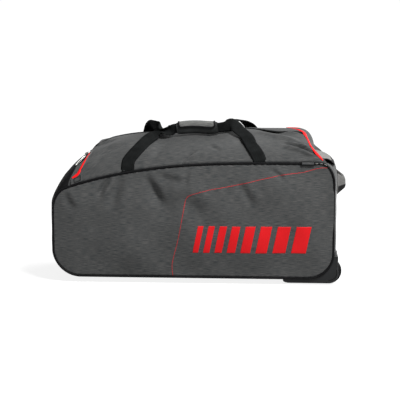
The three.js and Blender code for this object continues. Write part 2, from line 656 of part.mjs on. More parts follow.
const BACK_STRAP = [
  { x: -195, angle: 85.5, lift: LYING, turn: 0, width: WIDE },
  { x: -192, angle: 71, lift: LYING, turn: 0, width: WIDE },
  { x: -184, angle: 60, lift: LYING, turn: 0, width: WIDE },
  { x: -175, angle: 48, lift: LYING, turn: 0, width: WIDE },
  { x: -166, angle: 34, lift: 5, turn: 0, width: WIDE },
  { x: -157, angle: 21, lift: 13, turn: 0, width: WIDE },
  { x: -146, angle: 8, lift: 23, turn: -12, width: WIDE },
  { x: -128, angle: -6, lift: 28, turn: -35, width: 36 },
  { x: -102, angle: -18, lift: 29, turn: -70, width: 30 },
  inGrip(-66, 1),
  inGrip(-33, 1),
  inGrip(0, 1),
  inGrip(33, 1),
  inGrip(66, 1),
  { x: 90, angle: -22, lift: 24, turn: -70, width: 31 },
  { x: 108, angle: -12, lift: 25, turn: -30, width: 35 },
  { x: 128, angle: 0, lift: 21, turn: -14, width: WIDE },
  { x: 144, angle: 10, lift: 12, turn: 0, width: WIDE },
  { x: 154, angle: 22, lift: 5.5, turn: 0, width: WIDE },
  { x: 158, angle: 36, lift: 3, turn: 0, width: WIDE },
  { x: 163, angle: 50, lift: LYING, turn: 0, width: WIDE },
  { x: 168, angle: 61, lift: LYING, turn: 0, width: WIDE },
  { x: 174, angle: 72, lift: LYING + 0.4, turn: 0, width: WIDE },
  { x: 181, angle: 83, lift: LYING, turn: 0, width: WIDE },
];

function webbingStrap(rows, steps) {
  const place = (at) => overTop(...['x', 'angle', 'lift'].map((name) => columnAt(rows, name, at)));
  const rings = spread(0, 1, steps).map((at) => {
    const { point, normal } = place(at);
    const nudge = 1e-3;
    const along = place(Math.min(1, at + nudge)).point.sub(place(Math.max(0, at - nudge)).point).normalize();
    const flat = along.clone().cross(normal).normalize();
    const wide = flat.applyAxisAngle(along, columnAt(rows, 'turn', at) * DEG);
    const thick = along.cross(wide).normalize();
    const halfWidth = columnAt(rows, 'width', at) / 2;
    const halfThick = WEBBING.thickness / 2;
    return [[-1, -1], [1, -1], [1, 1], [-1, 1]].map(([across, through]) => {
      const edge = point.clone().addScaledVector(wide, across * halfWidth);
      return edge.addScaledVector(thick, through * halfThick);
    });
  });
  return ringLoft(rings, false);
}

addPiece('carry_strap_front', webbingStrap(FRONT_STRAP, 42), 'webbing');
addPiece('carry_strap_back', webbingStrap(BACK_STRAP, 42), 'webbing');

// Grip: a padded sleeve round both straps, open at its ends.

function gripSleeve() {
  const depthwise = new THREE.Vector3(0, 1, 0);
  const ring = (x, halfDepth, halfHeight, power) => {
    const { point, normal } = overTop(x, GRIP.angle, gripLift(x));
    const across = depthwise.clone().addScaledVector(normal, -normal.y).normalize();
    return roundedRing(point, across, normal, halfDepth, halfHeight, 12, power);
  };
  const stations = spread(-GRIP.length / 2, GRIP.length / 2, 6);
  const endTaper = (x) => 1 - 0.12 * Math.abs(2 * x / GRIP.length) ** 6;
  const outside = stations.map((x) => {
    return ring(x, GRIP.halfDepth * endTaper(x), GRIP.halfHeight * endTaper(x), 3);
  });
  const inside = stations.map((x) => ring(x, GRIP_HOLLOW.halfDepth, GRIP_HOLLOW.halfHeight, 6)).reverse();
  return ringLoft([...outside, ...inside], true);
}

addPiece('grip_wrap', gripSleeve(), 'heather');

// End handle: a padded band across the wheel end, broad where it is sewn on and standing off in its middle.

const END_HANDLE = { height: 279, half: 82, leg: 40, reach: 18.7, edgeHalfHeight: 30, middleHalfHeight: 16 };
const END_HANDLE_HALF_THICK = { edge: 1.8, middle: 5.5 };

function endHandle() {
  const standOff = (y) => smoothstep(END_HANDLE.half - Math.abs(y), 0, END_HANDLE.leg);
  const centre = (y) => {
    const phi = Math.asin(y / GUSSET_HALF);
    const reach = SEAM_GAP + END_HANDLE_HALF_THICK.edge + END_HANDLE.reach * standOff(y);
    return new THREE.Vector3(rightWall(phi) + reach, y, END_HANDLE.height);
  };
  const up = new THREE.Vector3(0, 0, 1);
  const rings = spread(-END_HANDLE.half, END_HANDLE.half, 12).map((y) => {
    const along = centre(y + 0.5).sub(centre(y - 0.5)).normalize();
    const out = along.cross(up);
    const halfHeight = lerp(END_HANDLE.edgeHalfHeight, END_HANDLE.middleHalfHeight, standOff(y));
    const halfThick = lerp(END_HANDLE_HALF_THICK.edge, END_HANDLE_HALF_THICK.middle, standOff(y));
    return roundedRing(centre(y), out, up, halfThick, halfHeight, 10, 3);
  });
  return ringLoft(rings, false);
}

addPiece('end_handle', endHandle(), 'heather');

// End flap: a cloth visor from the dome's end down to the corner, with a bound edge.

const FLAP = { halfAngle: 58, rootHeight: 30, droop: 1.3, lift: 3.4, thickness: 2, setBack: 9 };
const FLAP_BINDING_RADIUS = 1.6;

function flapPoint(a, phi) {
  const x = lerp(domeEnd(phi) + 2 * SEAM_GAP, rightWall(phi) - FLAP.setBack, a);
  const lift = FLAP.lift + FLAP.rootHeight * crownAt(phi) * (1 - a) ** FLAP.droop;
  return new THREE.Vector3(x, depthAt(phi), shelfHeight(x, phi) + lift);
}

const FLAP_TURN = spread(-FLAP.halfAngle * DEG, FLAP.halfAngle * DEG, 10);
const FLAP_SIZES = { thickness: FLAP.thickness };
addPiece('end_flap', clothWall(flapPoint, spread(0, 1, 5), FLAP_TURN, FLAP_SIZES), 'heather');

const bindingRings = FLAP_TURN.map((phi) => {
  const outward = new THREE.Vector3(1, 0, 0);
  const up = new THREE.Vector3(0, 0, 1);
  const centre = flapPoint(1, phi).addScaledVector(outward, FLAP_BINDING_RADIUS + SEAM_GAP);
  return roundedRing(centre, outward, up, FLAP_BINDING_RADIUS, FLAP_BINDING_RADIUS, 6);
});
addPiece('end_flap_binding', ringLoft(bindingRings, false), 'black');

// Seam tabs: short strips of webbing sewn along the front seam near the ends.

const SEAM_TABS = [
  { name: 'seam_tab_left', from: -344.5, to: -321.5, low: -86.5, high: -78 },
  { name: 'seam_tab_right', from: 297, to: 350, low: -87.3, high: -83 },
];
const TAB_SIZES = { thickness: 1.6, proud: 1.6 + GAP };
for (const tab of SEAM_TABS) {
  const turn = spread(tab.low * DEG, tab.high * DEG, 2);
  addPiece(tab.name, clothWall(topPoint, spread(tab.from, tab.to, 2), turn, TAB_SIZES), 'webbing');
}

// Zip sliders parked past the trim at the left ends of the zips, each with a pull tab on the cap.

const SLIDER = { from: -343, to: -331, angle: 19, lift: 2, halfWidth: 5, halfHeight: 2.6 };
const PULL_ROWS = [
  { x: -337.5, angle: 21.5, lift: 3.2, halfWidth: 2.5 },
  { x: -341, angle: 23.6, lift: 3.6, halfWidth: 5 },
  { x: -347, angle: 27, lift: 3.2, halfWidth: 5.5 },
  { x: -355, angle: 31, lift: 2.4, halfWidth: 5.5 },
  { x: -362, angle: 34.5, lift: 2, halfWidth: 4 },
];
const PULL_HALF_THICK = 1.2;

function overTopRing(x, angle, lift, halfWidth, halfHeight) {
  const { point, normal } = overTop(x, angle, lift);
  const across = new THREE.Vector3(0, 1, 0).addScaledVector(normal, -normal.y).normalize();
  return roundedRing(point, across, normal, halfWidth, halfHeight, 8, 3);
}

for (const [name, side] of [['front', -1], ['back', 1]]) {
  const slider = spread(SLIDER.from, SLIDER.to, 3).map((x, i) => {
    const taper = i === 0 || i === 3 ? 0.75 : 1;
    const [halfWidth, halfHeight] = [taper * SLIDER.halfWidth, taper * SLIDER.halfHeight];
    return overTopRing(x, side * SLIDER.angle, SLIDER.lift, halfWidth, halfHeight);
  });
  addPiece(`zip_slider_${name}`, ringLoft(slider, false), 'metal');
  const pull = PULL_ROWS.map((row) => {
    return overTopRing(row.x, side * row.angle, row.lift, row.halfWidth, PULL_HALF_THICK);
  });
  addPiece(`zip_pull_${name}`, ringLoft(pull, false), 'metal');
}

export default bag;
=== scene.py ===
import bpy
import numpy as np
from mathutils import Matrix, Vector


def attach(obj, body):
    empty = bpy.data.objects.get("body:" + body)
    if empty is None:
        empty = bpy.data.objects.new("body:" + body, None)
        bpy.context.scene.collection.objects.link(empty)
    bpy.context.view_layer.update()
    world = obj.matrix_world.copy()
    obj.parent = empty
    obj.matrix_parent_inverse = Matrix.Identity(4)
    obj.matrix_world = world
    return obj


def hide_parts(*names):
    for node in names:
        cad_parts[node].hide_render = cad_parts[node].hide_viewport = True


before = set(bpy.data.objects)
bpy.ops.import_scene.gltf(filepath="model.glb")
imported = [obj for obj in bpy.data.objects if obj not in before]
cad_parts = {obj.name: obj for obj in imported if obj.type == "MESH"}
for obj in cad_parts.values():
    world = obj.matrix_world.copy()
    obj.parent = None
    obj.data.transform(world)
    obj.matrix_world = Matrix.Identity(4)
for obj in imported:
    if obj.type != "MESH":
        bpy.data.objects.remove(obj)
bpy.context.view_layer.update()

# Studio
# A plain white floor, lit through from below like a product table, and white walls low round the horizon
# under a dimmer ceiling, with a dark flag at either side just above the horizon. A broad soft sun from above
# and behind catches the ridge, and one lamp stands front right.
VIEW_AZIMUTH = np.radians(4.0)
VIEW_ELEVATION = np.radians(7.0)
VIEW_TARGET = Vector((0.0115, -0.180, 0.243))
VIEW_DISTANCE_M = 3.4
VIEW_LENS = 107.4
LAMP_TARGET = Vector((0.0, 0.0, 0.22))
FLOOR_HALF_M = 400.0
WALL_STRENGTH = 1.02
CEILING_STRENGTH = 0.35
FLAG_SHARE = 0.4
# Parts of a unit direction, upwards or sideways, between which the walls' light changes
CEILING_FADE = (0.18, 0.45)
FLAG_FOOT = (0.05, 0.09)
FLAG_EDGE = (0.3, 0.8)


def srgb(code):
    """A hex colour such as #4b4c4d as linear red, green, blue and full alpha."""
    parts = np.array([int(code[i:i + 2], 16) for i in (1, 3, 5)]) / 255
    linear = np.where(parts <= 0.04045, parts / 12.92, ((parts + 0.055) / 1.055) ** 2.4)
    return (*linear.tolist(), 1.0)


def add(tree, kind, sockets=None, **settings):
    """Adds a node with its settings, and fills each named socket with a value or a link from an output."""
    node = tree.nodes.new(kind)
    for name, value in settings.items():
        setattr(node, name, value)
    for name, value in (sockets or {}).items():
        if isinstance(value, bpy.types.NodeSocket):
            tree.links.new(value, node.inputs[name])
        else:
            node.inputs[name].default_value = value
    return node


def mapped(tree, value, start, end, low, high):
    """A value between start and end, mapped to between low and high."""
    return add(tree, "ShaderNodeMapRange", {
        "Value": value, "From Min": start, "From Max": end, "To Min": low, "To Max": high}).outputs["Result"]


def new_material(name):
    """An empty node material, and its tree."""
    material = bpy.data.materials.new(name)
    material.use_nodes = True
    material.node_tree.nodes.clear()
    return material, material.node_tree


def coated(material, sockets):
    """Ends a material with one principled shader that has these sockets."""
    shader = add(material.node_tree, "ShaderNodeBsdfPrincipled", sockets)
    add(material.node_tree, "ShaderNodeOutputMaterial", {"Surface": shader.outputs["BSDF"]})
    return material


def lit_white_floor():
    """Opal acrylic table top, lit from below, so that shadows on it stay pale."""
    return coated(new_material("lit_opal_acrylic")[0], {
        "Base Color": srgb("#6c6c6c"), "Roughness": 0.95, "Specular IOR Level": 0.0,
        "Emission Color": (1, 1, 1, 1), "Emission Strength": 0.86})


def lamp_at(name, kind, place, power, **settings):
    """A lamp at a place in metres, facing the middle of the bag."""
    lamp = bpy.data.lights.new(name, kind)
    lamp.energy = power
    for setting, value in settings.items():
        setattr(lamp, setting, value)
    holder = bpy.data.objects.new(name, lamp)
    holder.location = place
    holder.rotation_euler = (LAMP_TARGET - Vector(place)).to_track_quat("-Z", "Y").to_euler()
    bpy.context.collection.objects.link(holder)


floor_mesh = bpy.data.meshes.new("floor")
floor_corners = [(-1, -1), (1, -1), (1, 1), (-1, 1)]
floor_points = [(FLOOR_HALF_M * x, FLOOR_HALF_M * y, 0) for x, y in floor_corners]
floor_mesh.from_pydata(floor_points, [], [(0, 1, 2, 3)])
floor_mesh.materials.append(lit_white_floor())
floor = bpy.data.objects.new("floor", floor_mesh)
bpy.context.collection.objects.link(floor)

lamp_at("top_sun", "SUN", place=(1.8, 1.1, 2.0), power=4.6, angle=np.radians(50))
lamp_at("side_lamp", "AREA", place=(1.8, -2.6, 3.5), power=540, size=1.05)

world = bpy.data.worlds.new("studio_walls")
world.use_nodes = True
walls = world.node_tree
walls.nodes.clear()
direction = add(walls, "ShaderNodeTexCoord").outputs["Generated"]
parts = add(walls, "ShaderNodeSeparateXYZ", {"Vector": direction}).outputs
strength = mapped(walls, parts["Z"], *CEILING_FADE, WALL_STRENGTH, CEILING_STRENGTH)
sideways = add(walls, "ShaderNodeMath", {0: parts["X"]}, operation="ABSOLUTE").outputs["Value"]
share = mapped(walls, parts["Z"], *FLAG_FOOT, 1.0, FLAG_SHARE)
flagged = mapped(walls, sideways, *FLAG_EDGE, 1.0, share)
dimmed = add(walls, "ShaderNodeMath", {0: strength, 1: flagged}, operation="MULTIPLY").outputs["Value"]
glow = add(walls, "ShaderNodeBackground", {"Color": (1, 1, 1, 1), "Strength": dimmed})
add(walls, "ShaderNodeOutputWorld", {"Surface": glow.outputs["Background"]})
bpy.context.scene.world = world
bpy.context.scene.view_settings.view_transform = "Standard"

camera = bpy.data.objects.new("camera", bpy.data.cameras.new("camera"))
camera.data.lens = VIEW_LENS
camera.data.sensor_width = 36.0
view_back = Vector((
    np.sin(VIEW_AZIMUTH) * np.cos(VIEW_ELEVATION),
    -np.cos(VIEW_AZIMUTH) * np.cos(VIEW_ELEVATION),
    np.sin(VIEW_ELEVATION),
))
camera.location = VIEW_TARGET + view_back * VIEW_DISTANCE_M
camera.rotation_euler = (-view_back).to_track_quat("-Z", "Y").to_euler()
bpy.context.collection.objects.link(camera)
bpy.context.scene.camera = camera

# Front and back panels
# Each side of the bag is one panel of heather polyester canvas, sewn into the piping all round and pushed
# out by what is inside. Diagonal folds hang from the top seam where the straps and corners pull.
MM = 0.001
SIDES = ((-1, "front"), (1, "back"))
CLOTH = 2.5
BODY_LEFT = -413.0
BODY_RIGHT = 392.0
BAG_MIDDLE = np.array([-10.0, 0.0, 190.0])
PANEL_MIDDLE = (BODY_LEFT + BODY_RIGHT) / 2
PANEL_HALF = (BODY_RIGHT - BODY_LEFT) / 2
PANEL_PLANE = 180.0
PANEL_BULGE = 17.0
PANEL_TUCK = 3.1
BASE_EDGE = 20.0
LOW_LEFT_RADIUS = 80.0
LOW_RIGHT_RADIUS = 74.0
SEAM_HEIGHT = 349.0
SEAM_FALL = 74.6
SEAM_FALL_FROM = 250.0
SEAM_FALL_RUN = 626.8
SEAM_FALL_POWER = 2.85
SHOULDER_RUN = 38.0
LEFT_SHOULDER_FALL = 48.0
RIGHT_SHOULDER_FALL = 60.0
LOW_PUCKER_SHIFT = 11.0
EDGE_OVERLAP = 2.6
# The overlap grows between these values of x and of z, and fades between the last two of z
OVERLAP_RIGHT = (376.0, 388.0)
OVERLAP_LOW = (135.0, 185.0)
OVERLAP_HIGH = (262.0, 284.0)
# The length after which a wave texture of scale 1 repeats
WAVE_PERIOD_M = 0.31416
FRONT_SEED = 3
BACK_SEED = 8
# Columns: x and z of the fold's middle, its angle in degrees, half length, width, depth
FRONT_FOLDS = [
    (-254, 285, -120, 38, 8, 13.0),
    (-216, 267, -106, 50, 14, 8.0),
    (-112, 276, -62, 44, 13, 11.0),
    (-72, 262, -54, 50, 34, 10.0),
    (-70, 312, -14, 40, 12, 7.0),
    (-361, 245, -59, 28, 11, 7.0),
    (-20, 312, -100, 22, 7, 5.0),
    (0, 246, -40, 42, 24, 8.0),
    (231, 326, -35, 26, 7, 6.0),
    (150, 268, -58, 36, 12, 6.0),
    (40, 205, -30, 60, 34, 6.0),
]
BACK_FOLDS = [
    (-240, 290, -120, 36, 10, 5.0),
    (-90, 280, -62, 44, 16, 6.0),
    (110, 285, -114, 40, 13, 5.0),
    (270, 300, -50, 34, 12, 5.0),
    (340, 230, -125, 30, 12, 4.0),
]


def lerp(start, end, t):
    """The straight mix of two values."""
    return start + (end - start) * t


def smooth_step(value, low, high):
    """0 below low, 1 above high, and a smooth cubic between."""
    t = np.clip((value - low) / (high - low), 0, 1)
    return t * t * (3 - 2 * t)


def rounded_fall(t, fall):
    """The fall of a quarter ellipse: none at t = 0, all of it at t = 1."""
    return fall * (1 - np.sqrt(1 - np.clip(t, 0, 1) ** 2))


def seam_height(x):
    """The top seam: level on the right, falling to the left as a power of the distance."""
    return SEAM_HEIGHT - SEAM_FALL * (np.maximum(0, SEAM_FALL_FROM - x) / SEAM_FALL_RUN) ** SEAM_FALL_POWER


def panel_low(x, inset):
    """A panel's lower edge: level, with a quarter circle up at each end."""
    left = LOW_LEFT_RADIUS - inset
    right = LOW_RIGHT_RADIUS - inset
    left_corner = rounded_fall((BODY_LEFT + inset + left - x) / left, left)
    right_corner = rounded_fall((x - BODY_RIGHT + inset + right) / right, right)
    return BASE_EDGE + inset + left_corner + right_corner


def panel_high(x, inset):
    """A panel's upper edge: the seam line, with a quarter ellipse down at each end."""
    run = SHOULDER_RUN - inset
    left_corner = rounded_fall((BODY_LEFT + inset + run - x) / run, LEFT_SHOULDER_FALL - inset)
    right_corner = rounded_fall((x - BODY_RIGHT + inset + run) / run, RIGHT_SHOULDER_FALL - inset)
    return seam_height(x) - inset - left_corner - right_corner


def folds(a, b, rows):
    """Creases in a sheet: across each one a valley, a steep wall and then a lower ridge, fading out along
    its length."""
    a0, b0, turn, length, width, depth = np.array(rows, float).T
    turn = np.radians(turn)
    from_a = a[..., None] - a0
    from_b = b[..., None] - b0
    along = (from_a * np.cos(turn) + from_b * np.sin(turn)) / length
    across = (from_b * np.cos(turn) - from_a * np.sin(turn)) / width
    profile = 0.6 * np.exp(-(across - 0.9) ** 2 / 1.4) - np.exp(-(across + 0.9) ** 2)
    return (depth * profile * np.exp(-along ** 4)).sum(-1)


def soft_waves(a, b, seed, wavelength, height, count=12):
    """Slack in a sheet: a sum of sine waves of about that wavelength, in directions drawn from the seed."""
    draw = np.random.default_rng(seed)
    turn = draw.uniform(0, np.pi, count)
    stretch = draw.uniform(0.7, 1.6, count)
    start = draw.uniform(0, 2 * np.pi, count)
    reach = a[..., None] * np.cos(turn) + b[..., None] * np.sin(turn)
    waves = np.sin(2 * np.pi * reach / (wavelength * stretch) + start)
    return height * np.sqrt(2 / count) * waves.sum(-1)


def pucker(along, from_seam, pitch=19.0, height=0.9, reach=11.0):
    """Ripples drawn up by a row of stitches: sines along the seam that die away from it."""
    wander = 1.7 * np.sin(along / 37) + 0.9 * np.sin(along / 83)
    return height * np.exp(-from_seam / reach) * np.sin(2 * np.pi * along / pitch + wander)


def rolled_edge(x, z):
    """How far the cloth rolls over the piping: fully high on the upright run at the right end, not
    elsewhere."""
    upright = smooth_step(x, *OVERLAP_RIGHT)
    return upright * smooth_step(z, *OVERLAP_LOW) * (1 - smooth_step(z, *OVERLAP_HIGH))


def panel_relief(x, z, rows, seed):
    """How far a panel stands out from its plane: a swelling with its folds, slack and puckers."""
    low = panel_low(x, PANEL_TUCK)
    high = panel_high(x, PANEL_TUCK)
    row = 2 * np.clip((z - low) / np.maximum(high - low, 1e-6), 0, 1) - 1
    end = np.clip((x - PANEL_MIDDLE) / PANEL_HALF, -1, 1)
    swell = PANEL_BULGE * (1 - end ** 4) * (1 - row ** 2)
    broad = soft_waves(x, z, seed, wavelength=170, height=2.8)
    fine = soft_waves(x, z, seed + 1, wavelength=60, height=0.25)
    slack = folds(x, z, rows) + broad + fine
    held = (1 - row ** 8) * (1 - end ** 12)
    ripples = pucker(x, high - z) + pucker(x + LOW_PUCKER_SHIFT, z - low, height=0.6)
    return swell + slack * held + ripples * (1 - end ** 12)


def surface(name, grid, cut, closed=(False, False), capped=False, middle=None, hole=None):
    """A quad mesh over a grid of points, smooth and facing out. An axis that is closed joins its end to its
    start, and a capped tube gets a flat end each side. cut is each point's place on the flat cloth, with
    one more row or column where an axis closes, and becomes the UV map in metres. hole marks the quads,
    by their middles, that are left out."""
    rows, columns = grid.shape[:2]
    index = np.arange(rows * columns).reshape(rows, columns)
    if closed[0]:
        index = np.concatenate([index, index[:1]])
    if closed[1]:
        index = np.concatenate([index, index[:, :1]], axis=1)
    place = np.arange(index.size).reshape(index.shape)
    first = slice(None, -1)
    second = slice(1, None)
    corners = [(first, first), (second, first), (second, second), (first, second)]
    quads = np.stack([index[part] for part in corners], axis=-1).reshape(-1, 4)
    cut_quads = np.stack([place[part] for part in corners], axis=-1).reshape(-1, 4)
    points = grid.reshape(-1, 3)
    if hole is not None:
        kept = ~hole(points[quads].mean(axis=1))
        quads = quads[kept]
        cut_quads = cut_quads[kept]
    ends = points[quads]
    normals = np.cross(ends[:, 2] - ends[:, 0], ends[:, 3] - ends[:, 1])
    seen_from = points.mean(axis=0) if middle is None else middle
    turned = (normals * (ends.mean(axis=1) - seen_from)).sum() < 0
    faces = quads[:, ::-1] if turned else quads
    cut_faces = cut_quads[:, ::-1] if turned else cut_quads
    caps = [index[0, :columns][::-1], index[-1, :columns]] if capped else []
    cut_caps = [place[0, :columns][::-1], place[-1, :columns]] if capped else []
    if turned:
        caps = [cap[::-1] for cap in caps]
        cut_caps = [cap[::-1] for cap in cut_caps]
    mesh = bpy.data.meshes.new(name)
    mesh.from_pydata((points * MM).tolist(), [], faces.tolist() + [cap.tolist() for cap in caps])
    loops = np.concatenate([cut_faces.ravel(), *cut_caps]).astype(int)
    layer = mesh.uv_layers.new(name="cut")
    layer.data.foreach_set("uv", (cut.reshape(-1, 2)[loops] * MM).ravel())
    mesh.polygons.foreach_set("use_smooth", np.arange(len(mesh.polygons)) < len(faces))
    piece = bpy.data.objects.new(name, mesh)
    bpy.context.collection.objects.link(piece)
    return piece


def cloth_wall(piece, thickness=CLOTH):
    """Gives a sheet its thickness, inwards from the face that shows."""
    wall = piece.modifiers.new("thickness", "SOLIDIFY")
    wall.thickness = thickness * MM
    wall.offset = -1
    return piece


def dress(piece, material, slot, *nodes, body="bag"):
    """Gives a piece its material, and sets it on its body in place of the solids it stands for. slot is not
    used.
    """
    piece.data.materials.append(material)
    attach(piece, body)
    if nodes:
        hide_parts(*nodes)
    return piece


def flat_place(tree):
    """A point's place on the flat cloth, in metres."""
    return add(tree, "ShaderNodeUVMap", uv_map="cut").outputs["UV"]


def noise(tree, place, per_metre, detail):
    """Soft patches, so many to the metre."""
    return add(tree, "ShaderNodeTexNoise", {
        "Vector": place, "Scale": per_metre, "Detail": detail}).outputs["Fac"]


def mottled(tree, colour, patches, low, high):
    """A colour that goes from a low share of its value to a high one with the patches."""
    value = mapped(tree, patches, 0.3, 0.7, low, high)
    return add(tree, "ShaderNodeHueSaturation", {"Color": colour, "Value": value}).outputs["Color"]


def threads(tree, place, pitch_m, wander, axis):
    """Rows of threads or ribs at that pitch along an axis."""
    return add(tree, "ShaderNodeTexWave", {
        "Vector": place, "Scale": WAVE_PERIOD_M / pitch_m, "Distortion": wander},
        bands_direction=axis).outputs["Fac"]


def plain_weave(tree, place, thread_m, wander):
    """Threads both ways: the product of the two rows."""
    weft = threads(tree, place, thread_m, wander, "Y")
    warp = threads(tree, place, thread_m, wander, "X")
    return add(tree, "ShaderNodeMath", {0: weft, 1: warp}, operation="MULTIPLY").outputs["Value"]


def bumped(tree, height, strength, deep_m):
    """The normals of a fine relief of that depth."""
    return add(tree, "ShaderNodeBump", {
        "Height": height, "Strength": strength, "Distance": deep_m}).outputs["Normal"]


def heather_canvas(name, dark, light):
    """Melange polyester canvas: pale and dark fibres spun into one yarn, so that short streaks run along
    the weft. The real streaks are under 1 mm wide, and are drawn at 1 mm so that they show."""
    streak_length_m = 0.022
    streak_width_m = 0.001
    yarn_m = 0.0016
    material, tree = new_material(name)
    cut = flat_place(tree)
    stretched = add(tree, "ShaderNodeMapping", {
        "Vector": cut, "Scale": (1 / streak_length_m, 1 / streak_width_m, 1.0)}).outputs["Vector"]
    streaks = add(tree, "ShaderNodeTexNoise", {
        "Vector": stretched, "Scale": 1.0, "Detail": 2.0, "Roughness": 0.6,
        "Distortion": 0.15}).outputs["Fac"]
    tone = add(tree, "ShaderNodeValToRGB", {"Fac": streaks})
    for stop, place, colour in zip(tone.color_ramp.elements, (0.30, 0.72), (dark, light)):
        stop.position = place
        stop.color = srgb(colour)
    weave = plain_weave(tree, cut, yarn_m, wander=0.6)
    relief = add(tree, "ShaderNodeMath", {0: streaks, 1: 0.5, 2: weave}, operation="MULTIPLY_ADD")
    patches = noise(tree, cut, per_metre=14.0, detail=2.0)
    return coated(material, {
        "Base Color": mottled(tree, tone.outputs["Color"], patches, 0.93, 1.07),
        "Roughness": 0.9, "IOR": 1.5, "Specular IOR Level": 0.2,
        "Sheen Weight": 0.05, "Sheen Roughness": 0.4,
        "Normal": bumped(tree, relief.outputs["Value"], strength=0.25, deep_m=0.0005)})


HEATHER = heather_canvas("heather_polyester_canvas", "#13181a", "#3d3c3b")
panel_s = np.linspace(-1, 1, 241)
panel_x = (PANEL_MIDDLE + (PANEL_HALF - PANEL_TUCK) * np.sin(np.pi / 2 * panel_s))[:, None]
panel_row = np.linspace(0, 1, 91)[None, :]
for (side, name), rows, seed in zip(SIDES, (FRONT_FOLDS, BACK_FOLDS), (FRONT_SEED, BACK_SEED)):
    z = lerp(panel_low(panel_x, PANEL_TUCK), panel_high(panel_x, PANEL_TUCK), panel_row)
    x = np.broadcast_to(panel_x, z.shape)
    out = side * (PANEL_PLANE + panel_relief(x, z, rows, seed))
    over = x + EDGE_OVERLAP * rolled_edge(x, z)
    grid = np.stack([over, out, z], -1)
    sheet = surface(f"{name}_panel_cloth", grid, np.stack([x, z], -1), middle=BAG_MIDDLE)
    dress(cloth_wall(sheet), HEATHER, "heather_cloth", f"{name}_panel")

# Piping
# A black cloth-covered cord, caught in the seam all round each side panel. High on the right it lies deeper,
# under the rolled edge of the panel.
PIPING_RADIUS = 2.8
CORD_RADIUS = 3.4
CORD_STEPS = 600
TUCKED_BACK = 3.0
TUCKED_THINNER = 0.8


def running(points):
    """The length along a line of points, from its first point."""
    return np.concatenate([[0], np.cumsum(np.linalg.norm(np.diff(points, axis=0), axis=1))])


def even_points(points, count):
    """The same line with that many points, evenly spaced."""
    length = running(points)
    at = np.linspace(0, length[-1], count)
    return np.stack([np.interp(at, length, column) for column in points.T], -1)


def unit(vectors):
    """Vectors at length 1."""
    return vectors / np.linalg.norm(vectors, axis=-1, keepdims=True)


def loop_along(points):
    """The direction along a closed line at each of its points."""
    return unit(np.roll(points, -1, axis=0) - np.roll(points, 1, axis=0))


def swept(centre, across, up, half_across, half_up, sides, power=2.0):
    """Rings along a path: each an ellipse or, with a power above 2, a rounded rectangle, on two axes."""
    angle = np.linspace(0, 2 * np.pi, sides, endpoint=False)
    reach = [np.sign(part) * np.abs(part) ** (2 / power) for part in (np.cos(angle), np.sin(angle))]
    half_across = np.broadcast_to(half_across, len(centre))[:, None, None]
    half_up = np.broadcast_to(half_up, len(centre))[:, None, None]
    beside = half_across * reach[0][None, :, None] * across[:, None]
    above = half_up * reach[1][None, :, None] * up[:, None]
    return centre[:, None] + (beside + above)


def tube_cut(grid, ring):
    """A tube's flat cloth: length along its path, and length round its middle ring."""
    path = grid.mean(axis=1)
    around = np.concatenate([grid[len(grid) // 2], grid[len(grid) // 2][:1]])
    path = np.concatenate([path, path[:1]]) if ring else path
    return np.stack(np.meshgrid(running(path), running(around), indexing="ij"), -1)


def tube(name, grid, material, slot, *nodes, ring=False):
    """A piece from rings of points along a path, which is closed into a ring or capped at both ends."""
    piece = surface(name, grid, tube_cut(grid, ring), closed=(ring, True), capped=not ring)
    return dress(piece, material, slot, *nodes)


def woven_black(name, colour, thread_m, roughness):
    """Black nylon: a plain weave with a soft gloss on the high side of each thread. Its 0.7 mm threads are
    drawn coarser so that the weave shows."""
    material, tree = new_material(name)
    cut = flat_place(tree)
    weave = plain_weave(tree, cut, thread_m, wander=0.5)
    dust = noise(tree, cut, per_metre=40.0, detail=4.0)
    return coated(material, {
        "Base Color": mottled(tree, srgb(colour), dust, 0.8, 1.25), "Roughness": roughness, "IOR": 1.53,
        "Specular IOR Level": 0.05, "Normal": bumped(tree, weave, strength=0.5, deep_m=0.0005)})


BLACK_CLOTH = woven_black("black_nylon_cloth", "#0a0a0b", thread_m=0.0024, roughness=0.62)
BLACK_BINDING = woven_black("black_binding_tape", "#070708", thread_m=0.0014, roughness=0.55)
outline_x = PANEL_MIDDLE + PANEL_HALF * np.sin(np.pi / 2 * panel_s)
outline = np.concatenate([
    np.stack([outline_x, panel_low(outline_x, 0)], -1),
    np.stack([outline_x, panel_high(outline_x, 0)], -1)[::-1],
])
outline = even_points(np.concatenate([outline, outline[:1]]), CORD_STEPS + 1)[:-1]
outline_along = loop_along(outline)
outline_outward = np.stack([outline_along[:, 1], np.zeros(CORD_STEPS), -outline_along[:, 0]], -1)
cord_step = np.arange(CORD_STEPS)
tucked = rolled_edge(outline[:, 0], outline[:, 1])
uneven = 1 + 0.03 * np.sin(cord_step * 2.1) * np.sin(cord_step * 0.37)
cord_radius = CORD_RADIUS * uneven - TUCKED_THINNER * tucked
for side, name in SIDES:
    centre = np.insert(outline, 1, side * (PANEL_PLANE - TUCKED_BACK * tucked), axis=1)
    depthwise = np.broadcast_to([0.0, 1.0, 0.0], centre.shape)
    grid = swept(centre, outline_outward, depthwise, cord_radius, cord_radius, 10)
    tube(f"piping_{name}_cord", grid, BLACK_BINDING, "black_cloth", f"piping_{name}", ring=True)

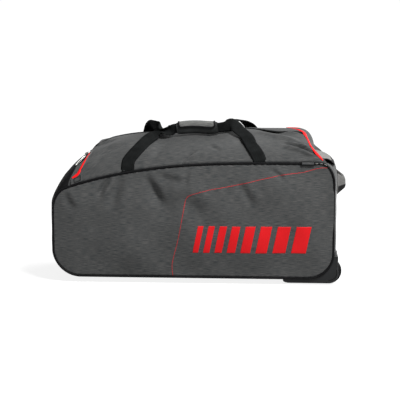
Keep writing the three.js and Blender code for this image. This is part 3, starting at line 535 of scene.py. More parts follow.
# Base and left end
# Black nylon that wraps the bottom and turns up over the left end to the trim. The base sags to the floor
# along the middle, and is held up at the right by the wheel housings.
FIT_GAP = 0.3
SEAM_GAP = 0.5
GUSSET_HALF = PANEL_PLANE - PIPING_RADIUS - FIT_GAP
LEFT_BULGE = 17.5
RIGHT_BULGE = 12.0
BELLY_FLAT = 0.25
BELLY_CURVE = 1.6
BELLY_CLEARANCE = 0.4
WHEEL_END_SAG = 6.0
WHEEL_END_EASE = (140.0, 290.0)
SHELF_RUN = 24.0
SHELF_FALL = 40.0
DOME_RISE = 90.0
DOME_ROUNDING = 70.0
DOME_END = 340.0
DOME_CORNER_REACH = 34.0
LEFT_DOME_EXTRA = 11.0
LEFT_DOME_FADE = (-240.0, -40.0)
TRIM_HALF = 4.1
TRIM_LEFT_AT_SEAM = -356.0
TRIM_LEFT_AT_RIDGE = -324.0
TRIM_STEP = 25.0
TRIM_STEP_BEFORE = 2.0
TRIM_STEP_AFTER = 30.0
LEFT_RIDGE_RUN = 110.0
LEFT_RIDGE_FALL = 88.0
LEFT_RIDGE_POWER = 2.2
LEFT_END_TUCK = 0.8
TONGUE_ANGLE = 20.3
TONGUE_REACH = 34.0
WHEEL_X = 380.0
WHEEL_Y = 140.0
WHEEL_RADIUS = 37.0
WHEEL_HOLE_RADIUS = 46.0
WHEEL_HOLE_HALF = 19.0
# Columns: angle in degrees, how far the right trim lies inside the dome's end
TRIM_RIGHT_INSETS = [(0, 50), (20.3, 34), (38, 21.7), (54, 18.2), (69, 19), (82, 14), (90, 14)]
# Columns: x, y, half length along x, half length along y, depth
TOP_DIPS = [
    (-95, -105, 55, 60, 6), (35, -120, 30, 45, 6), (215, -110, 60, 50, 5),
    (318, -120, 28, 45, 6), (-60, 115, 80, 50, 6), (180, 110, 70, 50, 5),
]
# Columns: angle in degrees, x where the black cap meets the heather strip beside the trim. Near the ridge,
# under the zip pulls, the black reaches almost to the trim: painted shadow of the pulls.
CAP_SPLIT = [(0, -329), (36, -331), (48, -350), (62, -357), (78, -366), (90, -370)]
# Columns: x and y of the fold's middle, its angle in degrees, half length, width, depth
CAP_FOLDS = [(-395, -60, 60, 50, 12, 4.0), (-385, 20, 80, 60, 14, 4.0), (-390, 95, -70, 50, 12, 4.0)]


def crown(phi):
    """How far up the gusset an angle is: 0 at the side panels, 1 on the ridge."""
    return np.maximum(0, np.cos(phi))


def depth(phi):
    """y at an angle round the gusset, from -90 degrees at the front panel to 90 at the back one."""
    return GUSSET_HALF * np.sin(phi)


def degrees_down(phi):
    """An angle's size in degrees, 0 on the ridge and 90 at either side panel."""
    return np.degrees(np.abs(phi))


def from_rows(at, rows):
    """The second column of a table, read straight between its rows at values of the first."""
    return np.interp(at, *np.array(rows, float).T)


def left_wall(phi):
    """x of the bulging left end."""
    return BODY_LEFT - LEFT_BULGE * crown(phi)


def right_wall(phi):
    """x of the bulging right end."""
    return BODY_RIGHT + RIGHT_BULGE * crown(phi)


def belly_height(x, phi):
    """The base: a flat sag in the middle that curves up to the panels, shallower near the wheels."""
    lifted = np.clip((np.abs(np.sin(phi)) - BELLY_FLAT) / (1 - BELLY_FLAT), 0, 1) ** BELLY_CURVE
    sag = lerp(BASE_EDGE, WHEEL_END_SAG, smooth_step(x, *WHEEL_END_EASE))
    return BASE_EDGE - sag * (1 - lifted)


def shelf_height(x, phi):
    """The lower body's top at the right end: the seam carried across, rounded down to the end wall."""
    run = lerp(SHOULDER_RUN, SHELF_RUN, crown(phi))
    fall = lerp(RIGHT_SHOULDER_FALL, SHELF_FALL, crown(phi))
    return seam_height(x) - rounded_fall((x - right_wall(phi) + run) / run, fall)


def trim_left(phi):
    """x of the left trim."""
    return lerp(TRIM_LEFT_AT_SEAM, TRIM_LEFT_AT_RIDGE, crown(phi))


def dome_end(phi):
    """x where the dome comes down to the shelf, further along in the corners at the seams."""
    return DOME_END + DOME_CORNER_REACH * np.abs(np.sin(phi)) ** 8


def left_fall(x, phi):
    """The fall at the left end: a step down beside the trim, then the shoulder to the end wall."""
    high = crown(phi)
    trim = trim_left(phi)
    step = TRIM_STEP * high * (1 - smooth_step(x, trim - TRIM_STEP_BEFORE, trim + TRIM_STEP_AFTER))
    run = lerp(SHOULDER_RUN, LEFT_RIDGE_RUN, high)
    fall = lerp(LEFT_SHOULDER_FALL, LEFT_RIDGE_FALL, high)
    along = np.clip((left_wall(phi) + run - x) / run, 0, 1)
    return step + lerp(rounded_fall(along, fall), fall * along ** LEFT_RIDGE_POWER, high)


def top_height(x, phi):
    """The top: the shelf plus a dome with a blunt right end, less the fall at the left and some dips."""
    end = np.clip((x - dome_end(phi) + DOME_ROUNDING) / DOME_ROUNDING, 0, 1)
    rise = DOME_RISE + LEFT_DOME_EXTRA * (1 - smooth_step(x, *LEFT_DOME_FADE))
    dome = rise * crown(phi) * (1 - end ** 3) ** (1 / 3)
    x0, y0, along_x, along_y, sunk = np.array(TOP_DIPS, float).T
    from_x = (x[..., None] - x0) / along_x
    from_y = (depth(phi)[..., None] - y0) / along_y
    dips = (sunk * np.exp(-from_x ** 2 - from_y ** 2)).sum(-1)
    return shelf_height(x, phi) + dome - left_fall(x, phi) - crown(phi) * dips


def gusset_points(x, phi, z):
    """Points from x, the angle round the gusset and z."""
    x, phi, z = np.broadcast_arrays(x, phi, z)
    return np.stack([x, depth(phi), z], -1)


def top_point(x, phi):
    """A point of the top, from x and the angle round the gusset."""
    x, phi = np.broadcast_arrays(x, phi)
    return gusset_points(x, phi, top_height(x, phi))


def trim_right(phi):
    """x of the right trim: behind the dome's end, with a tongue forward along the ridge."""
    angle = degrees_down(phi)
    tongue = TONGUE_REACH * np.maximum(0, 1 - angle / TONGUE_ANGLE)
    return dome_end(phi) - from_rows(angle, TRIM_RIGHT_INSETS) - tongue


def base_line(s, left, right):
    """x and lift along the base: s runs 0 to 1 round the left corner, on to 2 along the base, and to 3
    round the right corner."""
    turn = np.clip(np.where(s < 1.5, s, 3 - s), 0, 1) * np.pi / 2
    radius = np.where(s < 1.5, LOW_LEFT_RADIUS, LOW_RIGHT_RADIUS)
    side = np.where(s < 1.5, left + radius * (1 - np.cos(turn)), right - radius * (1 - np.cos(turn)))
    between = lerp(left + LOW_LEFT_RADIUS, right - LOW_RIGHT_RADIUS, np.clip(s - 1, 0, 1))
    in_corner = (s < 1) | (s > 2)
    return np.where(in_corner, side, between), np.where(in_corner, radius * (1 - np.sin(turn)), 0)


def eased(a):
    """Slow at the start, straight at the end: a quarter cosine."""
    return 1 - np.cos(a * np.pi / 2)


def grid_lengths(grid, axis):
    """Each grid line's own running length along an axis, measured from its middle."""
    steps = np.linalg.norm(np.diff(grid, axis=axis), axis=-1)
    start = np.zeros_like(np.take(steps, [0], axis=axis))
    total = np.concatenate([start, np.cumsum(steps, axis=axis)], axis=axis)
    return total - np.take(total, [total.shape[axis] // 2], axis=axis)


def flat_cut(grid, weft_axis):
    """A sheet's flat cloth: the lengths along its weft, which is one of the grid's axes, and its warp."""
    return np.stack([grid_lengths(grid, weft_axis), grid_lengths(grid, 1 - weft_axis)], -1)


def raised(grid, lift):
    """Moves each point of an open grid out along the grid's own normal."""
    normal = unit(np.cross(np.gradient(grid, axis=0), np.gradient(grid, axis=1)) + 1e-12)
    facing = np.sign((normal * (grid - BAG_MIDDLE)).sum(-1, keepdims=True))
    return grid + normal * facing * np.asarray(lift)[..., None]


def gusset_sheet(name, grid, lift, weft_axis, material, slot, hole=None):
    """One cloth piece of the gusset: its grid with the slack's lift, cut along one axis, and set in place of
    its solid.
    """
    cut = flat_cut(grid, weft_axis)
    sheet = surface(f"{name}_cloth", raised(grid, lift), cut, middle=BAG_MIDDLE, hole=hole)
    dress(cloth_wall(sheet), material, slot, name)


def wheel_opening(points):
    """Where the base is cut away for a wheel and its cup: near the wheel's axis, and within the cup's
    width."""
    near = np.hypot(points[:, 0] - WHEEL_X, points[:, 2] - WHEEL_RADIUS) < WHEEL_HOLE_RADIUS
    return near & (np.abs(np.abs(points[:, 1]) - WHEEL_Y) < WHEEL_HOLE_HALF)


around = np.radians(np.linspace(-90, 90, 121))[None, :]
from_panels = crown(around) ** 0.5
base_s = np.concatenate([
    np.linspace(0, 1, 20, endpoint=False),
    np.linspace(1, 2, 130, endpoint=False),
    np.linspace(2, 3, 21),
])[:, None]
base_x, base_lift = base_line(base_s, left_wall(around), right_wall(around))
base_grid = gusset_points(base_x, around, belly_height(base_x, around) + base_lift)
base_slack = soft_waves(base_x, base_grid[..., 1], seed=21, wavelength=120, height=0.5) * from_panels
base_slack = np.minimum(base_slack, base_grid[..., 2] - BELLY_CLEARANCE)
gusset_sheet("base_panel", base_grid, base_slack, 0, BLACK_CLOTH, "black_cloth",
             hole=wheel_opening)

left_a = np.linspace(0, 1, 61)[:, None]
left_foot = belly_height(left_wall(around), around) + LOW_LEFT_RADIUS + FIT_GAP
left_z = lerp(left_foot, top_height(left_wall(around), around) - LEFT_END_TUCK, left_a)
left_grid = gusset_points(left_wall(around), around, left_z)
left_slack = soft_waves(left_grid[..., 1], left_z, seed=31, wavelength=110, height=1.2) * from_panels
left_slack = left_slack * np.sin(np.pi * left_a) ** 0.5
gusset_sheet("left_end_panel", left_grid, left_slack, 1, BLACK_CLOTH, "black_cloth")

# Up to about 40 degrees from the ridge the black cap runs almost to the trim: painted shadow under the zip
# pulls.
cap_split = from_rows(degrees_down(around), CAP_SPLIT)
cap_a = np.linspace(0, 1, 41)[:, None]
from_ends = np.sin(np.pi * cap_a)
cap_grid = top_point(lerp(left_wall(around), cap_split, eased(cap_a)), around)
cap_slack = folds(cap_grid[..., 0], cap_grid[..., 1], CAP_FOLDS) * from_panels * from_ends
gusset_sheet("left_cap", cap_grid, cap_slack, 1, BLACK_CLOTH, "black_cloth")
strip_grid = top_point(lerp(cap_split + FIT_GAP, trim_left(around) + TRIM_HALF - SEAM_GAP, cap_a), around)
strip_slack = soft_waves(strip_grid[..., 0], strip_grid[..., 1], seed=33, wavelength=40, height=0.5)
strip_raised = raised(strip_grid, strip_slack * from_ends)
strip = surface("left_cap_strip", strip_raised, flat_cut(strip_grid, 1), middle=BAG_MIDDLE)
dress(cloth_wall(strip), HEATHER, "heather_cloth")

# Right end
# The same heather canvas as the panels, up the wall above the wheels, over the corner and along the shelf
# to the foot of the dome, whose rounded end is a piece of its own with a crease at either side.
CREASE_DEPTH = 5.0
CREASE_PLACE = 0.6
CREASE_WIDTH = 0.18
# Angles in degrees between which the crease starts and ends
CREASE_START = (14.0, 24.0)
CREASE_END = (46.0, 58.0)
right_a = np.concatenate([np.linspace(0, 1, 50, endpoint=False), np.linspace(1, 2, 31)])[:, None]
right_over = eased(np.maximum(0, right_a - 1))
right_x = right_wall(around) - (right_wall(around) - dome_end(around) - SEAM_GAP) * right_over
right_foot = belly_height(right_wall(around), around) + LOW_RIGHT_RADIUS + FIT_GAP
right_wall_z = lerp(right_foot, shelf_height(right_wall(around), around), np.minimum(right_a, 1))
right_z = np.where(right_a < 1, right_wall_z, shelf_height(right_x, around) - right_over)
right_grid = gusset_points(right_x, around, right_z)
right_slack = soft_waves(right_grid[..., 1], right_z, seed=41, wavelength=90, height=0.8) * from_panels
right_slack = right_slack * np.sin(np.pi * right_a / 2) ** 0.5
gusset_sheet("right_end_panel", right_grid, right_slack, 1, HEATHER, "heather_cloth")

end_run = dome_end(around) - trim_right(around) - SEAM_GAP
end_grid = top_point(dome_end(around) - end_run * eased(cap_a), around)
end_slack = soft_waves(end_grid[..., 1], end_grid[..., 2], seed=43, wavelength=60, height=0.6) * from_ends
end_angle = degrees_down(around)
creased = smooth_step(end_angle, *CREASE_START) * (1 - smooth_step(end_angle, *CREASE_END))
end_slack = end_slack - CREASE_DEPTH * creased * np.exp(-((cap_a - CREASE_PLACE) / CREASE_WIDTH) ** 2)
gusset_sheet("right_cap", end_grid, end_slack, 1, HEATHER, "heather_cloth")

# Domed top
# Two curved heather panels, sewn at the panels' seams, and a narrow lid along the ridge between the zips.
# Creases run in from the trims, and the cloth rolls over the front seam.
ZIP_ANGLE = np.radians(22.0)
ZIP_HALF = np.radians(1.7)
ZIP_OUTER = ZIP_ANGLE + ZIP_HALF
ZIP_INNER = ZIP_ANGLE - ZIP_HALF
ZIP_SEAM = SEAM_GAP / GUSSET_HALF
# Shares of the length between which the front zip bends back to the ridge and returns
ZIP_BEND = (0.03, 0.13)
ZIP_RETURN = (0.7, 0.9)
SEAM_ROLL_HEIGHT = 2.2
SEAM_ROLL_UP = 7.0
SEAM_ROLL_WIDTH = 5.0
BACK_SHIFT = 30.0
BACK_HELD = (200.0, 280.0)
# Columns: x, length up from the seam, angle in degrees, half length, width, depth
TOP_FOLDS = [
    (-20, 22, 42, 26, 5, -9.0),
    (56, 55, -38, 20, 6, 3.0),
    (236, 122, -30, 66, 12, -7.0),
    (296, 47, -20, 46, 7, -12.0),
    (312, 52, -30, 26, 6, 7.0),
    (320, 16, 14, 24, 6, -8.0),
    (285, 72, -15, 34, 5, -7.0),
    (262, 150, -18, 40, 6, -5.0),
    (-284, 148, 15, 36, 5, 7.0),
    (-262, 96, 22, 46, 12, 4.0),
    (-300, 52, 34, 36, 10, 4.0),
    (-120, 60, 62, 34, 14, 4.0),
    (150, 70, -60, 40, 14, 4.0),
]


def up_from_seam(phi):
    """The cloth's length from a side seam up to an angle: the arc of the dome's half ellipse."""
    angle = np.linspace(-np.pi / 2, 0, 400)
    slope = np.hypot(GUSSET_HALF * np.cos(angle), DOME_RISE * np.sin(angle))
    length = np.concatenate([[0], np.cumsum((slope[1:] + slope[:-1]) / 2 * np.diff(angle))])
    return np.interp(-np.abs(phi), angle, length)


def bent_with_zip(a, phi):
    """The angle round the gusset, moved where the front zip bends back to the ridge along the bag's
    middle."""
    back = smooth_step(a, *ZIP_BEND) * (1 - smooth_step(a, *ZIP_RETURN))
    share = np.interp(phi, [-np.pi / 2, -ZIP_OUTER, -ZIP_INNER, ZIP_INNER, np.pi / 2], [0, 1, 1, 0, 0])
    return phi + ZIP_ANGLE * back * share


def between_trims(a, turn):
    """A point of the top, a running from the left trim to the right one."""
    phi = bent_with_zip(a, turn)
    return top_point(lerp(trim_left(phi) + TRIM_HALF, trim_right(phi) - SEAM_GAP, a), phi)


top_a = np.linspace(0, 1, 221)[:, None]
for (side, name), area in zip(SIDES, (0.126, 0.097)):
    phi = side * np.linspace(np.pi / 2, ZIP_OUTER + ZIP_SEAM, 71)[None, :]
    grid = between_trims(top_a, phi)
    up = up_from_seam(bent_with_zip(top_a, phi))
    x = grid[..., 0] if side < 0 else -grid[..., 0] - BACK_SHIFT
    slack = folds(x, up, TOP_FOLDS) + soft_waves(x, up, seed=51 + side, wavelength=110, height=0.9)
    held = np.sin(np.pi * np.clip(up / up.max(), 0.02, 0.98)) ** 0.35
    ends_held = 1 - (side > 0) * smooth_step(np.abs(x), *BACK_HELD)
    rolled = SEAM_ROLL_HEIGHT * np.exp(-((up - SEAM_ROLL_UP) / SEAM_ROLL_WIDTH) ** 2)
    slack = slack * held * ends_held + pucker(x, up, height=0.7) + rolled
    gusset_sheet(f"top_{name}_panel", grid, slack, 0, HEATHER, "heather_cloth")

lid_s = np.linspace(-1, 1, 41)[None, :]
lid_grid = between_trims(top_a, lid_s * (ZIP_INNER - ZIP_SEAM))
lid_slack = soft_waves(lid_grid[..., 0], lid_grid[..., 1], seed=61, wavelength=120, height=0.8)
gusset_sheet("lid_panel", lid_grid, lid_slack * np.cos(np.pi / 2 * lid_s), 0, HEATHER, "heather_cloth")

# Zips
# Woven black tape between the lid and each top panel, with a coil of nylon teeth along its middle.
ZIP_PROUD = 0.8
ZIP_THICK = 1.2
COIL_PITCH = 3.0
COIL_HALF_WIDTH = 2.6
COIL_HEIGHT = 1.5
COIL_PROUD = ZIP_PROUD + 0.5


def over_top(x, phi, lift):
    """A place above the top: the point lifted along the surface's normal, with that normal."""
    step_x = 0.5
    step_phi = 0.002
    along_x = top_point(x + step_x, phi) - top_point(x - step_x, phi)
    along_phi = top_point(x, phi + step_phi) - top_point(x, phi - step_phi)
    normal = unit(np.cross(along_x, along_phi))
    point = top_point(x, phi)
    normal = normal * np.sign((normal * (point - BAG_MIDDLE)).sum(-1, keepdims=True))
    return point + normal * np.asarray(lift)[..., None], normal


ZIP_TAPE = woven_black("black_zip_tape", "#141515", thread_m=0.0012, roughness=0.6)
coil_a = np.linspace(0.004, 0.996, 1301)
for side, name in SIDES:
    grid = between_trims(top_a, side * ZIP_ANGLE + np.linspace(-1, 1, 9)[None, :] * ZIP_HALF)
    sheet = surface(f"zip_{name}_tape", raised(grid, ZIP_PROUD), flat_cut(grid, 0), middle=BAG_MIDDLE)
    dress(cloth_wall(sheet, ZIP_THICK), ZIP_TAPE, "zip_tape", f"zip_{name}")
    coil_x = between_trims(coil_a, side * ZIP_ANGLE)[:, 0]
    at, up = over_top(coil_x, bent_with_zip(coil_a, side * ZIP_ANGLE), COIL_PROUD)
    across = np.cross(unit(np.gradient(at, axis=0)), up)
    tooth = 0.75 + 0.25 * np.cos(2 * np.pi * running(at) / COIL_PITCH)
    grid = swept(at, across, up, COIL_HALF_WIDTH * tooth, COIL_HEIGHT * tooth, 8)
    tube(f"zip_{name}_coil", grid, ZIP_TAPE, "zip_tape")

# Trims
# A red cord sewn over the dome at each end of the top, thin along the ridge and fuller down the sides.
TRIM_SEAT = 0.3
TRIM_PROUD_ON_RIDGE = 0.7
TRIM_PROUD = 1.9
HOOK_ANGLE = 9.0
# Angles in degrees between which a trim grows proud beside the ridge, and thins behind it
TRIM_PROUD_FROM = (6.0, 20.0)
TRIM_THIN_FROM = (40.0, 50.0)
# Columns: angle in degrees, half width
LEFT_TRIM_WIDTHS = [(0, 2.4), (25, 3.4), (45, 4.4), (60, 4.6), (68, 4.6), (76, 5.0)]
RIGHT_TRIM_WIDTHS = [
    (0, 1.4), (9, 1.8), (16, 5.5), (23, 6.0), (32, 3.2),
    (45, 3.0), (57, 3.4), (67, 4.0), (75, 3.6), (83, 1.8),
]
# Columns: name, x along it, angle of its feet, how far they hook left, shift in x, thinning behind, widths
TRIMS = [
    ("trim_left", trim_left, 76.0, 11.0, 4.5, 0.0, LEFT_TRIM_WIDTHS),
    ("trim_right", trim_right, 83.0, 0.0, 0.0, 0.4, RIGHT_TRIM_WIDTHS),
]


def red_trim_cloth():
    """Red polyester trim: bright dye, a satin face and fine ribs across it, drawn 1.5 mm apart."""
    rib_m = WAVE_PERIOD_M / 209
    material, tree = new_material("red_polyester_trim")
    cut = flat_place(tree)
    ribs = threads(tree, cut, rib_m, wander=0.3, axis="X")
    dust = noise(tree, cut, per_metre=60.0, detail=3.0)
    return coated(material, {
        "Base Color": mottled(tree, srgb("#b0070b"), dust, 0.9, 1.05), "Roughness": 0.6, "IOR": 1.5,
        "Specular IOR Level": 0.1, "Normal": bumped(tree, ribs, strength=0.3, deep_m=0.0004)})


RED_TRIM = red_trim_cloth()
for name, line, end, hook, shift, thinning, widths in TRIMS:
    phi = np.radians(np.linspace(-end, end, 241))
    down = degrees_down(phi)
    thinned = 1 - thinning * smooth_step(np.degrees(phi), *TRIM_THIN_FROM)
    half = from_rows(down, widths) * thinned
    proud = lerp(TRIM_PROUD_ON_RIDGE, TRIM_PROUD, smooth_step(down, *TRIM_PROUD_FROM)) * thinned
    foot = hook * smooth_step(down, end - HOOK_ANGLE, end)
    at, up = over_top(line(phi) + shift - foot, phi, TRIM_SEAT)
    across = unit(np.cross(unit(np.gradient(at, axis=0)), up))
    tube(f"{name}_cord", swept(at, across, up, half, proud, 12, power=2.4), RED_TRIM, "red_trim", name)

# Seam tabs
# Short tabs, laid along the front seam near each end. The left one is heather, sewn down with black thread.
# The right one is a black tab drawn as heather bound in black: its grey middle is a painted highlight. A few
# grey stitches show in the seam beside it.
TAB_THICK = 1.6
LEFT_TAB_LIFT = TAB_THICK + 2.2
LEFT_TAB_STITCH_LIFT = TAB_THICK + 2.6
RIGHT_TAB_PROUD = 1.8
RIGHT_TAB_LEAN = 4.2
RIGHT_TAB_LEAN_FROM = (1.0, 6.5)
TAB_EDGE_HALF_WIDTH = 1.4
TAB_EDGE_HALF_THICK = 0.9
STITCH_STEP = 0.5
THREAD_RADIUS = 1.0
# Where each tab starts and ends along the bag, and across the seam in degrees or in height
LEFT_TAB_X = (-360, -328)
LEFT_TAB_ANGLES = (-87.5, -76)
RIGHT_TAB_X = (298, 336)
RIGHT_TAB_RISE = (-4.5, 6.5)
SEAM_STITCHES_X = (338, 372)
# Columns: x, angle round the gusset in degrees
LEFT_TAB_STITCHES = [(-350, -85.3), (-350, -77.5), (-332, -77.5), (-332, -85.3), (-350, -85.3)]
# Columns: x, height over the seam
RIGHT_TAB_EDGE = [(299, -3.6), (299, 4.6), (335, 4.6), (335, -3.6), (299, -3.6)]


def stitch_line(name, path, up, thread_cloth, pitch):
    """A row of stitches: a thread along a path that comes up over the cloth and dips under it in turn."""
    length = running(path)
    at = np.arange(0, length[-1], STITCH_STEP)
    path, up = (np.stack([np.interp(at, length, column) for column in line.T], -1) for line in (path, up))
    wave = np.tanh(3 * np.sin(2 * np.pi * np.arange(len(path)) * STITCH_STEP / pitch))
    centre = path + up * (0.9 * wave - 0.3)[:, None]
    across = unit(np.cross(unit(np.gradient(centre, axis=0)), up))
    tube(name, swept(centre, across, up, THREAD_RADIUS, THREAD_RADIUS, 6), thread_cloth, "black_cloth")


def tab_front(x, up):
    """The right tab: a patch over the piping, that leans back onto the top above it."""
    x, up = np.broadcast_arrays(x, up)
    lean = RIGHT_TAB_LEAN * smooth_step(up, *RIGHT_TAB_LEAN_FROM)
    return np.stack([x, lean - PANEL_PLANE - CORD_RADIUS - RIGHT_TAB_PROUD, seam_height(x) + up], -1)


left_tab_turn = np.radians(np.linspace(*LEFT_TAB_ANGLES, 13))[None, :]
left_tab = raised(top_point(np.linspace(*LEFT_TAB_X, 25)[:, None], left_tab_turn), LEFT_TAB_LIFT)
# The right tab's heather face stands for the gloss on a black tab's bulge: painted highlight.
right_tab = tab_front(np.linspace(*RIGHT_TAB_X, 25)[:, None], np.linspace(*RIGHT_TAB_RISE, 13)[None, :])
for name, grid in (("seam_tab_left", left_tab), ("seam_tab_right", right_tab)):
    tab = surface(f"{name}_webbing", grid, flat_cut(grid, 0), middle=BAG_MIDDLE)
    dress(cloth_wall(tab, TAB_THICK), HEATHER, "webbing", name)

stitch_x, stitch_angle = np.array(LEFT_TAB_STITCHES, float).T
stitch_path = even_points(np.stack([stitch_x, np.radians(stitch_angle) * PANEL_PLANE], -1), 181)
stitch_at, stitch_up = over_top(stitch_path[:, 0], stitch_path[:, 1] / PANEL_PLANE, LEFT_TAB_STITCH_LIFT)
stitch_line("seam_tab_left_stitches", stitch_at, stitch_up, BLACK_BINDING, pitch=5.0)
edge_path = even_points(np.array(RIGHT_TAB_EDGE, float), 161)[:-1]
edge_at = tab_front(edge_path[:, 0], edge_path[:, 1])
edge_out = np.broadcast_to([0.0, -1.0, 0.0], edge_at.shape)
edge_across = unit(np.cross(loop_along(edge_at), edge_out))
edge_grid = swept(edge_at, edge_across, edge_out, TAB_EDGE_HALF_WIDTH, TAB_EDGE_HALF_THICK, 8)
tube("seam_tab_right_edge", edge_grid, BLACK_BINDING, "black_cloth", ring=True)
seam_x = np.linspace(*SEAM_STITCHES_X, 91)
seam_at = np.stack([seam_x, np.full(91, -PANEL_PLANE - CORD_RADIUS), panel_high(seam_x, 0) + SEAM_GAP], -1)
seam_out = np.broadcast_to([0.0, -1.0, 0.0], seam_at.shape)
GREY_THREAD = heather_canvas("grey_polyester_thread", "#4a4a48", "#6a6966")
stitch_line("right_seam_stitches", seam_at, seam_out, GREY_THREAD, pitch=13.0)

# End flap
# A heather visor from the foot of the dome's end down to the corner, its free edge bound in black tape.
FLAP_ANGLE = np.radians(58.0)
FLAP_ROOT = 18.0
FLAP_DROOP = 1.3
FLAP_LIFT = 3.4
FLAP_SET_BACK = 9.0
FLAP_THICK = 2.0
CORNER_LIFT = 11.0
FLAP_TAPE_FROM = 0.86
FLAP_TAPE_PROUD = 0.5
FLAP_TAPE_THICK = 2.6
BINDING_RADIUS = 2.4


def flap_point(a, phi):
    """The flap: a runs from the dome's foot to the free edge, its height over the shelf easing away, with
    the free edge lifted at its front corner."""
    x = lerp(dome_end(phi) + 2 * SEAM_GAP, right_wall(phi) - FLAP_SET_BACK, a)
    lift = FLAP_LIFT + FLAP_ROOT * crown(phi) * (1 - a) ** FLAP_DROOP
    lift = lift + CORNER_LIFT * a * np.clip(-phi / FLAP_ANGLE, 0, 1) ** 4
    return gusset_points(x, phi, shelf_height(x, phi) + lift)


def flap_layer(name, grid, thickness, material, slot, *nodes):
    """A cloth layer of the flap, with its weft across the bag."""
    piece = surface(name, grid, flat_cut(grid, 1), middle=BAG_MIDDLE)
    return dress(cloth_wall(piece, thickness), material, slot, *nodes)


# The flap's canvas is the panels' heather drawn paler: painted light for the sun from above and behind that
# it faces.
FLAP_LIT_CANVAS = heather_canvas("flap_heather_painted_lit", "#464645", "#5e5d5b")
flap_phi = np.linspace(-FLAP_ANGLE, FLAP_ANGLE, 81)[None, :]
flap_a = np.linspace(0, FLAP_TAPE_FROM, 31)[:, None]
flap_grid = flap_point(flap_a, flap_phi)
flap_slack = soft_waves(flap_grid[..., 0], flap_grid[..., 1], seed=71, wavelength=70, height=0.6)
flap_grid = raised(flap_grid, flap_slack * np.sin(np.pi * flap_a))
flap = flap_layer("end_flap_cloth", flap_grid, FLAP_THICK, FLAP_LIT_CANVAS, "heather_cloth", "end_flap")

tape_grid = raised(flap_point(np.linspace(FLAP_TAPE_FROM, 1, 13)[:, None], flap_phi), FLAP_TAPE_PROUD)
tape = flap_layer("end_flap_tape", tape_grid, FLAP_TAPE_THICK, BLACK_BINDING, "black_cloth")
edge_phi = FLAP_ANGLE * np.concatenate([np.full(20, -1.0), np.linspace(-1, 1, 81), np.full(20, 1.0)])
edge_a = np.concatenate([np.linspace(0.05, 0.95, 20), np.ones(81), np.linspace(0.95, 0.05, 20)])
edge_at = even_points(flap_point(edge_a, edge_phi), 201) - np.array([0.0, 0.0, BINDING_RADIUS])
edge_up = np.broadcast_to([0.0, 0.0, 1.0], edge_at.shape)
edge_across = unit(np.cross(unit(np.gradient(edge_at, axis=0)), edge_up))
edge_grid = swept(edge_at, edge_across, edge_up, BINDING_RADIUS, BINDING_RADIUS, 10)
tube("end_flap_edge", edge_grid, BLACK_BINDING, "black_cloth", "end_flap_binding")

# End handle
# A foam-padded heather band across the wheel end, sewn down at both ends and standing off in the middle,
# with black cloth on its underside.
HANDLE_HEIGHT = 282.0
HANDLE_HALF = 82.0
HANDLE_LEG = 40.0
HANDLE_REACH = 18.7
HANDLE_HALF_THICK_SEWN = 1.8
HANDLE_HALF_THICK = 5.5
HANDLE_HALF_HEIGHT_SEWN = 30.0
HANDLE_HALF_HEIGHT = 16.0
HANDLE_SIDES = 40
# The points of a ring that lie on the underside
UNDERSIDE = slice(21, 40)
UNDERSIDE_PROUD = 0.6
UNDERSIDE_THICK = 1.0


def handle_rings(grow):
    """Rings across the bag: a flat oval that is broad and thin where it is sewn, round where it stands
    off."""
    y = np.linspace(-HANDLE_HALF, HANDLE_HALF, 97)
    off = smooth_step(HANDLE_HALF - np.abs(y), 0, HANDLE_LEG)
    wall = right_wall(np.arcsin(y / GUSSET_HALF))
    x = wall + SEAM_GAP + HANDLE_HALF_THICK_SEWN + HANDLE_REACH * off
    centre = np.stack([x, y, np.full(97, HANDLE_HEIGHT)], -1)
    up = np.broadcast_to([0.0, 0.0, 1.0], centre.shape)
    across = np.cross(unit(np.gradient(centre, axis=0)), up)
    half_thick = lerp(HANDLE_HALF_THICK_SEWN, HANDLE_HALF_THICK, off) + grow
    half_height = lerp(HANDLE_HALF_HEIGHT_SEWN, HANDLE_HALF_HEIGHT, off) + grow
    return swept(centre, across, up, half_thick, half_height, HANDLE_SIDES, power=2.6)


# The handle's canvas is the panels' heather drawn paler: painted light for the light on its top.
HANDLE_LIT_CANVAS = heather_canvas("handle_heather_painted_lit", "#373736", "#4d4c4b")
handle = tube("end_handle_pad", handle_rings(0.0), HANDLE_LIT_CANVAS, "heather_cloth", "end_handle")
under_grid = handle_rings(UNDERSIDE_PROUD)[:, UNDERSIDE]
under_middle = np.array([300.0, 0.0, HANDLE_HEIGHT + 20])
under = surface("end_handle_underside", under_grid, flat_cut(under_grid, 0), middle=under_middle)
dress(cloth_wall(under, UNDERSIDE_THICK), BLACK_CLOTH, "black_cloth")

# Carry straps
# Two loops of black webbing, sewn in at the front and back seams, lying on the dome and gathered on edge
# through the grip.
STRAP_THICK = 2.4
WIDE = 38.0
LYING = 2.4
GATHERED = 27
GRIP_ANGLE = -27.0
GRIP_SPLIT = np.degrees(4.0 / GUSSET_HALF)
GRIP_STATIONS = (-66, -33, 0, 33, 66)
GRIP_STAND = 22.6
GRIP_LEVELLING = 0.05


def grip_lift(x):
    """How far the grip stands off the top: the more the further left, where the top falls away."""
    return GRIP_STAND - GRIP_LEVELLING * x


